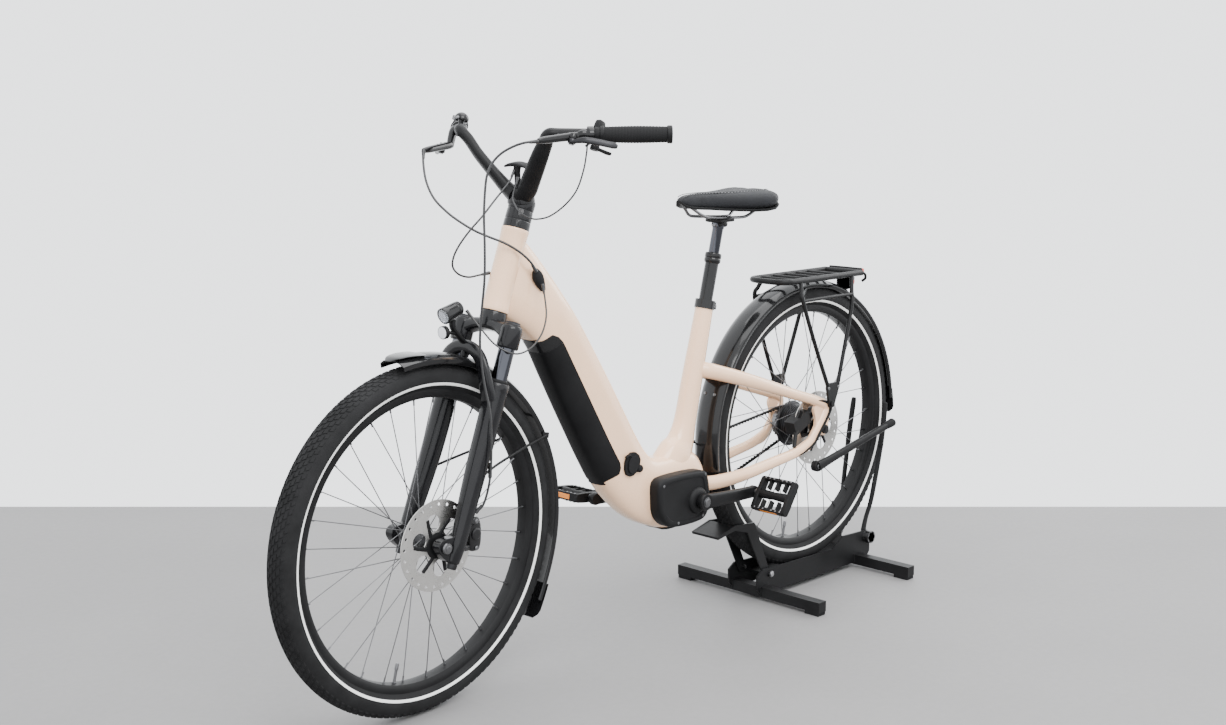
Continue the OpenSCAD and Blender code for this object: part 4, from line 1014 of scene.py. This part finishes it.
def caliper(name, place, body, replaces=()):
    """Two clamp halves over the rotor, with pistons and bolts, drawn round the pad centre."""
    halves = []
    for s in (1, -1):
        halves.append(tube_part([(-16, 9.2 * s, -30), (-17, 9.6 * s, -14), (-17, 9.6 * s, 14),
            (-15, 9.2 * s, 30)], [(6, 13), (7, 16), (7, 16), (6, 13)], sides=20, power=2.8, dome=4))
        halves.append(lathe_part([(s * 14, 12.5), (s * 18.4, 12.2), (s * 20, 10), (s * 20.2, 4)],
            (-16, 0, 2), segments=28))
    halves.append(box_part((-30, 0, 0), (8, 20, 44)))
    piece(name, halves, BLACK_GLOSS, body, place=place, replaces=replaces, bevel=1.2, smooth=45)
    bolts = []
    for z in (-27, 27):
        bolts += bolt_part((-17, 16, z), LEFT, 4.4, 3)
    piece(name + "_bolts", bolts, DARK_STEEL, body, place=place)


cal = STEER @ Matrix.Translation(Vector((-20, 50, 30)) * MM) @ Matrix.Rotation(math.radians(20), 4, "Y")
caliper("front_caliper_halves", cal, "fork_slider", replaces="front_caliper")
lugs = [tube_part([(-30, 60, 58), (-14, 66, 60), (6, 68, 62)], (5, 6.5), sides=14, steps=3, power=2.6),
    tube_part([(-28, 60, 8), (-12, 66, 6), (8, 70, 6)], (5, 6.5), sides=14, steps=3, power=2.6)]
steer_piece("front_caliper_lugs", lugs, FORK_BLACK, "fork_slider", smooth=50)

wheel_level = FRONT @ Matrix.Rotation(math.radians(20), 4, "Y")
blade = fender_part(366, 34, 80, 212, tail=3)
flap_f = flap_part(206, 218, 360.5, 36.5, 5)
fin = tube_part([(0, 0, 366.5), (30, 0, 368), (58, 0, 366), (72, 0, 361)], [(30, 1.6), (27, 1.6), (20, 1.6),
    (9, 1.2)], sides=20, dome=2)
stay = both(tube_part([(-78, 74, 112), (-92, 70, 115), (-150, 56, 130), (-240, 43, 148), (-300, 38.5, 160),
    (-320, 36, 164)], 2.6, sides=12))
piece("front_fender_blade", [blade, flap_f, fin], BLACK_GLOSS, "fork_slider", place=wheel_level,
    replaces="front_fender", smooth=50)
piece("front_fender_stays", stay, BLACK_COAT, "fork_slider", place=wheel_level, smooth=50)
clips = [box_part((-312, 36.5 * s, 163), (18, 5, 12), Matrix.Rotation(math.radians(-10), 3, "Y"))
    for s in (1, -1)]
piece("fender_stay_clips", clips, PLASTIC, "fork_slider", place=wheel_level, bevel=1.4)
steer_piece("fender_bridge_bracket", [tube_part([(50, 0, 364), (50, 0, 374), (51, 0, 386)], (6, 9),
    sides=14, steps=2, power=3)] + both(tube_part([(-6, 81, 175), (-16, 79, 164), (-24, 76, 150)], 4,
    sides=12, steps=3)), BLACK_COAT, "fork_slider", bevel=0.5)

# --- headlight, in the steering frame ---

LAMP = math.radians(38 + 90)
lamp_axis = Vector((math.sin(LAMP), 0, math.cos(LAMP)))
lamp_c = Vector((112, 0, 441))
body_l = lathe_part([(-23, 5), (-22.6, 11), (-20, 13.4), (-12, 14.4), (-11, 13.8), (-9.4, 13.8),
    (-8.4, 14.8), (10, 15.8), (21, 16.6), (23, 16.2), (23, 14.6), (17, 13)], lamp_c, lamp_axis, 44)
steer_piece("headlight_shell", [body_l], BLACK_GLOSS, "fork_slider", replaces="headlight", smooth=32)
steer_piece("headlight_reflector", [lathe_part([(21.5, 14.4), (17, 12.6), (13.5, 8), (12.5, 3),
    (12.4, 0.1)], lamp_c, lamp_axis, 40)], MIRROR_CUP, "fork_slider", smooth=20)
glass, nt_g, p_g = new_material("clear_lens")
g_noise = node(nt_g, "ShaderNodeTexNoise", Scale=60.0)
g_bump = node(nt_g, "ShaderNodeBump", Strength=0.05, Distance=0.0004)
g_coord = node(nt_g, "ShaderNodeTexCoord")
nt_g.links.new(g_coord.outputs["Object"], g_noise.inputs["Vector"])
nt_g.links.new(g_noise.outputs["Fac"], g_bump.inputs["Height"])
nt_g.links.new(g_bump.outputs["Normal"], p_g.inputs["Normal"])
p_g.inputs["Base Color"].default_value = (0.93, 0.95, 0.98, 1)
p_g.inputs["Roughness"].default_value = 0.04
p_g.inputs["Transmission Weight"].default_value = 0.9
p_g.inputs["IOR"].default_value = 1.45
steer_piece("headlight_lens", [lathe_part([(21.6, 14.5), (22.6, 14.2), (24.4, 8), (24.8, 0.1)], lamp_c,
    lamp_axis, 40)], glass, "fork_slider", smooth=60)
leds = [lathe_part([(13, 2.2), (15.5, 1.8), (16.4, 0.8)], lamp_c + Vector((0, y, 0)) + Vector((-lamp_axis.z,
    0, lamp_axis.x)) * z, lamp_axis, 12) for y, z in ((0, 5), (-5, -3), (5, -3))]
steer_piece("headlight_leds", leds, WHITE_LENS, "fork_slider")
REFL = math.radians(112)
refl_axis = Vector((math.sin(REFL), 0, math.cos(REFL)))
rc = Vector((118, 0, 398))
steer_piece("headlight_reflector_cup", [lathe_part([(-5, 5), (-5, 12.6), (3, 13), (4.4, 12.6), (4.4, 11.2)],
    rc, refl_axis, 36)], PLASTIC, "fork_slider", smooth=32)
steer_piece("headlight_prism", [lathe_part([(3.4, 11.6), (4.6, 11.3), (5, 0.1)], rc, refl_axis, 36)],
    WHITE_LENS, "fork_slider", smooth=50)
bracket = [tube_part([(52, 0, 388), (66, 0, 395), (86, 0, 404), (100, 0, 414), (105, 0, 428)],
    [(9, 4), (8, 4), (7, 4), (7, 4.4), (7, 5)], power=3), tube_part([(86, 0, 404), (100, 0, 402),
    (114, 0, 399)], (5, 3.4), sides=12, steps=3)]
steer_piece("headlight_bracket", bracket, BLACK_COAT, "fork_slider", smooth=50)

# --- cockpit, in the steering frame ---

GRIP_IN, GRIP_OUT = Vector((38, 196, 830)), Vector((-50, 293, 864))
BAR_DIR = (GRIP_OUT - GRIP_IN).normalized()
BEND = Vector((96, 122, 808))
CLAMP = BEND + 0.82 * (GRIP_IN - BEND)
RISE = {1: 16, -1: -16}


column = [lathe_part([(639.5, 16), (639.5, 27), (655, 27), (656, 26.2), (657, 26.2), (658, 26.8),
    (676, 26.4), (678, 25.6), (679, 25.6), (680, 26.4), (694, 27), (700, 26), (700, 16)], axis=UP,
    segments=48)]
column.append(tube_part([(3, 0, 694), (8, 0, 704), (14, 0, 713), (18, 0, 722)], [(27, 25), (26, 24),
    (24, 20), (20, 14)], sides=28, power=2.5, dome=4))
steer_piece("steering_column_shell", column, FORK_BLACK, replaces="steering_column", smooth=40, bevel=0.6)
steer_piece("column_bolts", bolt_part((-12, 12, 706), (-1, 0, 0.3), 4, 3) + bolt_part((-12, -12, 706),
    (-1, 0, 0.3), 4, 3), DARK_STEEL)
bars = [flip(tube_part([(16, 8, 704), (22, 26, 714), (44, 54, 739), (68, 84, 768), (84, 106, 793),
    (96, 122, 807), (84, 138, 813), GRIP_IN, (GRIP_IN + GRIP_OUT) / 2, GRIP_OUT],
    [(20, 17), (20, 14), (19, 11.5), (17.5, 10.5), (15, 10.5), (12.5, 11), (11.4, 11), (11, 11), (11, 11),
    (11, 11)], sides=24, steps=6, side=(0.70, -0.70, 0.15), power=2.3), s) for s in (1, -1)]
steer_piece("handlebar_tube", bars, BLACK_COAT, replaces="handlebar", smooth=60)


def grip_part():
    """An ergonomic grip with a palm swell and fine rings."""
    rings, length = [], (GRIP_OUT - GRIP_IN).length
    u = BAR_DIR.cross(Vector(UP)).normalized()
    v = BAR_DIR.cross(u)
    n = 84
    for i in range(n + 1):
        k = i / n
        swell = 1.1 * math.sin(math.pi * min(1, max(0, (k - 0.12) / 0.8)))
        rib = 0.35 if i % 4 < 2 else -0.1
        r = 15.0 + swell + (rib if 0.1 < k < 0.92 else 0)
        ring = []
        for j in range(32):
            a = 2 * math.pi * j / 32
            flat = 1 - 0.06 * max(0.0, math.cos(a)) ** 2
            centre = GRIP_IN + BAR_DIR * (6 + (length - 10) * k)
            ring.append(centre + (u * math.cos(a) * flat + v * math.sin(a)) * r)
        rings.append(ring)
    return rings_to_mesh(rings)


grips, grip_rings = [], []
for s in (1, -1):
    grips.append(flip(grip_part(), s))
    grip_rings.append(flip(lathe_part([(0, 11.2), (0, 16), (1.5, 17.2), (7, 17.3), (8.4, 16)], GRIP_IN,
        BAR_DIR, 36), s))
    grip_rings.append(flip(lathe_part([(-7, 15.6), (-6, 17.2), (1.4, 17.4), (3, 16.2), (3.2, 12.5),
        (2.2, 12), (2.2, 3)], GRIP_OUT, BAR_DIR, 36), s))
steer_piece("grip_rubber", grips, RUBBER, replaces="grips", smooth=70)
steer_piece("grip_collars", grip_rings, PLASTIC, smooth=32)

masters, master_trim = [], []
for s in (1, -1):
    rise = RISE[s]
    p0, p1 = Vector((70, 172, 800 + rise)), Vector((150, 154, 762 + rise))
    d = (p1 - p0).normalized()
    masters.append(flip(lathe_part([(-7, 11.2), (-7, 15), (-5, 16), (5, 16), (7, 15), (7, 11.2)], CLAMP,
        BAR_DIR, 32), s))
    masters.append(flip(tube_part([CLAMP + Vector((9, -1, -4)), CLAMP + Vector((16, -3, -9 + rise * 0.3)),
        p0], [(9, 9), (8, 8.4), (7, 7.6)], sides=18, power=2.6), s))
    masters.append(flip(tube_part([p0 - d * 4, p0 + d * 8, p0 + d * 30, p0 + d * 58, p1 - d * 14, p1],
        [(6.4, 6.6), (7.6, 8), (7, 7.6), (6.8, 7.2), (6.4, 6.6), (4.6, 5)], sides=20, power=2.5, dome=2),
        s))
    pivot = Vector((86, 176, 784 + rise))
    masters.append(flip(lathe_part([(5.4, 3), (5.4, 7.4), (8, 8), (14, 6.4)], pivot, UP, 24), s))
    masters.append(flip(lathe_part([(-7.6, 2), (-7.6, 5), (-5.6, 5.4), (-5.4, 2.9), (9, 2.9)], pivot, UP,
        20), s))
    master_trim += [flip(part, s) for part in bolt_part(p0 + d * 20 + Vector((0, 0, 7.2)), UP, 2.4, 1.2)]
    master_trim += [flip(part, s) for part in bolt_part(p0 + d * 46 + Vector((0, 0, 7)), UP, 2.4, 1.2)]
    master_trim += [flip(part, s) for part in bolt_part(CLAMP + Vector((-8, -6, 13)), (-0.2, -0.3, 1), 3.4,
        3)]
steer_piece("brake_master_bodies", masters, BLACK_GLOSS, replaces="brake_bodies", smooth=45)
steer_piece("brake_body_screws", master_trim, DARK_STEEL)
for label, s in (("left", 1), ("right", -1)):
    p = Vector((86, 176, 784 + RISE[s]))
    blade = flip(tube_part([p + Vector((-1, 3, 0)), p + Vector((-5, 12, 3)), p + Vector((-10, 24, 6)),
        p + Vector((-24, 40, 8)), p + Vector((-38, 54, 9)), p + Vector((-46, 63, 9.5)),
        p + Vector((-50, 68, 8.6))], [(4.4, 4.6), (4.2, 5), (3.6, 6), (3, 6.4), (3, 6.2), (3.4, 6.4),
        (4.6, 4.4)], sides=18, side=(0.8, 0.6, 0), power=2.6, dome=2.4), s)
    eye = flip(lathe_part([(-4.8, 3.1), (-4.8, 7), (-4, 7.8), (4, 7.8), (4.8, 7), (4.8, 3.1)], p, UP, 28),
        s)
    piece(label + "_brake_blade", [blade, eye], ANODISED, "brake_lever_" + label, place=STEER,
        replaces=label + "_brake_lever", smooth=50)

wing = [tube_part([(39, -30, 757), (39, -20, 760), (39, 0, 762.4), (39, 20, 760), (39, 30, 757)],
    [(8, 2.4), (11, 3.6), (11.6, 4.4), (11, 3.6), (8, 2.4)], sides=22, side=(0.866, 0, -0.5), power=2.8,
    dome=1), tube_part([(22, 0, 712), (26, 0, 728), (34, 0, 746), (38, 0, 757)],
    [(8, 5), (7, 4.4), (7, 4.4), (9, 5)], sides=18, power=2.8)]
steer_piece("display_wing", wing, PLASTIC, replaces="display", smooth=50)
pane = tube_part([(37.4, -17, 764.4), (37.2, 0, 766.2), (37.4, 17, 764.4)], [(7.4, 0.5), (8, 0.5),
    (7.4, 0.5)], sides=20, side=(0.866, 0, -0.5), power=4)
steer_piece("display_pane", [pane], SCREEN, smooth=60)
remote = [tube_part([(36, 189, 834), (36, 189, 846), (35, 188, 856)], [(8, 11), (8.4, 11), (7, 9.4)],
    sides=22, steps=4, power=3.4, dome=2, side=LEFT), lathe_part([(-9, 11.3), (-9, 14.4), (-7, 15), (7, 15),
    (9, 14.4), (9, 11.3)], CLAMP + BAR_DIR * 17, BAR_DIR, 30), lathe_part([(808, 3), (808, 8), (820, 8),
    (822, 6)], (37, 191, 0), UP, 24)]
steer_piece("remote_pod", remote, PLASTIC, replaces="remote_body", smooth=45)
buttons = [lathe_part([(-0.6, 4.4), (0.6, 4.2), (1.2, 3)], (27.4, 188 + dy, 848), (-1, 0, 0.1), 20)
    for dy in (-3.6, 3.8)]
steer_piece("remote_buttons", buttons, RUBBER)
push = [lathe_part([(799, 3), (799, 8.4), (800, 9), (806.5, 9), (807.4, 8.2), (807.4, 3)], (37, 191, 0), UP,
    28), tube_part([(36, 192, 803), (26, 196, 803), (14, 202, 802), (7, 206, 802)],
    [(3.6, 5), (3.2, 4.6), (3.4, 6), (3, 5.6)], power=2.6, side=UP, dome=2)]
steer_piece("seat_remote_paddle", push, PLASTIC, "seat_remote_lever", replaces="thumb_lever", smooth=45)
BELL = Vector((72, -156, 838))
bell = [lathe_part([(0, 13.6), (0, 14.8), (3, 15), (7, 13.6), (10.5, 11), (13, 7.4), (14.6, 3.4),
    (15, 0.1)], BELL, UP, 44), lathe_part([(-2, 3), (-2, 14.2), (0, 14.6), (0.4, 13)], BELL, UP, 40),
    tube_part([BELL - Vector((4, 0, 18)), BELL - Vector((2, 0, 9)), BELL], [(5, 6), (5, 6), (6, 7)],
    sides=16, steps=4)]
steer_piece("bell_dome", bell, BLACK_GLOSS, replaces="bell", smooth=45)
steer_piece("bell_band", [flip(lathe_part([(-5, 11.1), (-5, 12.6), (5, 12.6), (5, 11.1)],
    Vector((68, 156, 818)), BAR_DIR, 30), -1)], DARK_STEEL)
hammer = [lathe_part([(-7, 2), (-7, 4), (1, 4), (1.6, 3)], BELL + Vector((20, 0, 0)), UP, 18),
    tube_part([BELL + Vector((20, 0, -3)), BELL + Vector((22, 7, -3)), BELL + Vector((24, 15, -3))],
    [(2.4, 1.6), (2.2, 1.6), (3.4, 2.6)], sides=12, steps=4, dome=1.4)]
steer_piece("bell_hammer", hammer, DARK_STEEL, "striker", replaces="bell_striker", smooth=45)

# --- hoses and cables, along the CAD nodes' own routes ---

FRONT_HOSE = [(431, 161, 1111), (452, 148, 1109), (466, 131, 1102), (480, 114, 1090), (492, 103, 1074),
    (501, 98, 1055), (506, 96, 1032), (511, 96, 977), (512, 98, 915), (513, 97, 853), (515, 90, 792),
    (515, 84, 728), (510, 88, 658), (503, 96, 600), (500, 96, 540), (502, 93, 470), (512, 86, 420),
    (524, 76, 402)]
REAR_HOSE = [(457, -146, 1087), (466, -136, 1062), (475, -117, 1028), (476, -93, 996), (466, -66, 970),
    (452, -43, 951), (433, -22, 934), (413, -4, 922), (392, 22, 909), (368, 38, 891), (346, 45, 870),
    (332, 44, 852)]
DISPLAY = [(342, -4, 1050), (362, 1, 1027), (403, 5, 994), (434, 3, 964), (459, -7, 936), (475, -19, 909),
    (482, -29, 885), (480, -34, 865), (466, -33, 850), (444, -30, 843), (420, -27, 845), (398, -22, 848)]
LIGHT = [(323, 54, 824), (326, 64, 795), (340, 82, 768), (358, 93, 743), (377, 97, 724), (402, 99, 709),
    (429, 97, 703), (452, 90, 709), (466, 68, 724), (476, 44, 750), (488, 16, 784)]
REMOTE = [(346, 8, 1034), (368, 19, 1000), (375, 34, 983), (376, 52, 969), (373, 72, 961), (367, 88, 959),
    (357, 113, 966), (345, 142, 988), (334, 163, 1017), (327, 175, 1056), (321, 177, 1088),
    (318, 177, 1103), (313, 186, 1110)]


def boot(route, r):
    """A short tapered strain relief at the start of a route."""
    a, b = Vector(route[0]), Vector(route[1])
    d = (b - a).normalized()
    return lathe_part([(-2, r + 1.6), (3, r + 1.7), (4, r + 1.2), (8, r + 1.2), (9, r + 0.9), (15, r + 0.7),
        (18, r + 0.1)], a, d, 18)


piece("front_brake_line", [tube_part(FRONT_HOSE, 2.4, sides=14, steps=7), boot(FRONT_HOSE, 2.5),
    boot(FRONT_HOSE[::-1], 2.5)], HOSE, ("steering", "fork_slider", (0.512, 0.097, 0.90),
    (0.502, 0.094, 0.50)), replaces="front_brake_hose", smooth=70)
for name, route, r, start, end in (("rear_brake_line", REAR_HOSE, 2.4, (0.346, 0.045, 0.870),
        (0.457, -0.10, 1.05)), ("display_line", DISPLAY, 2.0, (0.400, -0.022, 0.850),
        (0.362, 0.001, 1.02))):
    piece(name, [tube_part(route, r, sides=14, steps=7), boot(route, r), boot(route[::-1], r)], HOSE,
        ("frame", "steering", start, end), replaces="steering_cables", smooth=70)
light_route = curve(LIGHT, 7)
piece("light_line_upper", [tube_part(light_route[:43], 1.8, sides=14, steps=1), boot(LIGHT, 1.8)], HOSE,
    ("frame", "steering", (0.326, 0.064, 0.795), (0.429, 0.097, 0.703)), replaces="steering_cables",
    smooth=70)
piece("light_line_lower", [tube_part(light_route[42:], 1.8, sides=14, steps=1), boot(LIGHT[::-1], 1.8)],
    HOSE, ("steering", "fork_slider", (0.429, 0.097, 0.703), (0.476, 0.044, 0.760)),
    replaces="steering_cables", smooth=70)
piece("remote_line", [tube_part(REMOTE, 1.7, sides=14, steps=7), boot(REMOTE, 1.7),
    boot(REMOTE[::-1], 1.7)], HOSE, "steering", replaces="remote_cable", smooth=70)

# --- stand ---

paint("stand_base", BLACK_COAT, 1.4, 25)
paint("stand_foot_pads", RUBBER, 1.5, 25)
paint("stand_bolts", DARK_STEEL, 0.8, 25)
paint("stand_yoke", BLACK_COAT, 0.8, 25)
plugs = []
for x, half in ((-405, 220), (-785, 210)):
    for s in (1, -1):
        plugs.append(box_part((x, s * (half - 0.6), 21), (23, 1, 21)))
piece("tube_end_plugs", plugs, RUBBER, "stand", bevel=0.4)
welds = []
for x in (-391.5, -418.5, -771.5, -798.5):
    for s in (1, -1):
        for y in (41.4, 46.8):
            welds.append(tube_part([(x, y * s, 12), (x, y * s, 20), (x, y * s, 27), (x, y * s, 33)],
                [2.0, 2.6, 2.2, 2.6], sides=8, steps=4))
piece("stand_welds", welds, BLACK_COAT, "stand", smooth=70)
arm_parts = []
arm_parts += both(tube_part([(-822, 36, 66), (-825, 35.6, 90), (-831, 38, 120), (-839, 44, 155),
    (-848, 47.4, 200), (-868, 51, 300), (-879, 50.4, 366), (-886, 49, 412)], [(2.6, 12), (2.6, 10.5),
    (3.4, 8.4), (5, 6.4), (5.8, 6), (5.8, 6), (5.8, 6), (5.4, 5.6)], sides=20, steps=6, power=2.4, dome=3))
arm_parts += both(lathe_part([(36.2, 4.3), (36.2, 13), (37.2, 14), (40, 14), (40.8, 13), (40.8, 4.3)],
    (-822, 0, 72)))
piece("stand_arm_tubes", arm_parts, BLACK_COAT, "arms", replaces="stand_arms", smooth=50)
sleeves = both(tube_part([(-868, 51, 300), (-876, 50.8, 348), (-884, 49.4, 398), (-886.3, 48.8, 414)],
    [(6.6, 6.8), (6.8, 7), (6.8, 7), (5.6, 5.8)], sides=20, steps=4, dome=2))
piece("stand_arm_sleeves", sleeves, RUBBER, "arms", smooth=60)
lobes = []
for s in (1, -1):
    rings = []
    for y, k in ((50, 0.86), (52, 1.0), (60, 1.0), (63, 0.86)):
        ring = []
        for i in range(72):
            a = 2 * math.pi * i / 72
            r = (15.2 + 1.6 * math.cos(6 * a)) * k
            ring.append((-822 + r * math.cos(a), s * y, 72 + r * math.sin(a)))
        rings.append(ring)
    lobes.append(rings_to_mesh(rings))
piece("stand_knobs", lobes, PLASTIC, "stand", smooth=50)
bolt_heads = []
for s in (1, -1):
    bolt_heads += bolt_part((-426, s * 51.8, 60), (0, s, 0), 6, 3)
piece("stand_bolt_heads", bolt_heads, PALE_GREY, "stand")

# --- floor and light ---

FLOOR_GAP = 0.0004  # keeps the floor's face just below the part's feet
FLOOR_BACK = 1.12  # where the floor ends behind the part, in metres

stage_m = surface("studio_floor", (0.20, 0.196, 0.196), 0.6, vary=0.07, grain=60, bump=0.05, patch=1.4,
    spread=0.06)
floor_me = bpy.data.meshes.new("studio_floor")
back = look.copy()
back.z = 0
back.normalize()
across = Vector((-back.y, back.x, 0))
corners = [back * d + across * w for d, w in ((FLOOR_BACK, -9), (FLOOR_BACK, 9), (-9, 9), (-9, -9))]
floor_me.from_pydata([(c.x, c.y, -FLOOR_GAP) for c in corners], [], [(0, 1, 2, 3)])
floor_me.materials.append(stage_m)
floor_o = bpy.data.objects.new("studio_floor", floor_me)
bpy.context.scene.collection.objects.link(floor_o)
world = bpy.data.worlds.new("studio")
bpy.context.scene.world = world
world.use_nodes = True
world.node_tree.nodes["Background"].inputs["Color"].default_value = (0.93, 0.95, 0.97, 1)
world.node_tree.nodes["Background"].inputs["Strength"].default_value = 2.7


def softbox(name, place, aim, size, power):
    light = bpy.data.lights.new(name, "AREA")
    light.shape, light.size, light.size_y, light.energy = "RECTANGLE", size[0], size[1], power
    o = bpy.data.objects.new(name, light)
    bpy.context.scene.collection.objects.link(o)
    o.location = place
    o.rotation_mode = "QUATERNION"
    o.rotation_quaternion = (Vector(aim) - Vector(place)).to_track_quat("-Z", "Y")


softbox("key", (1.2, 2.6, 3.2), (0, 0, 0.5), (2.6, 1.6), 120)
softbox("top", (-0.4, 0.2, 4.0), (0, 0, 0.4), (3.4, 2.4), 90)
softbox("rim", (-3.0, 0.9, 2.2), (-0.3, 0, 0.5), (1.6, 2.4), 60)
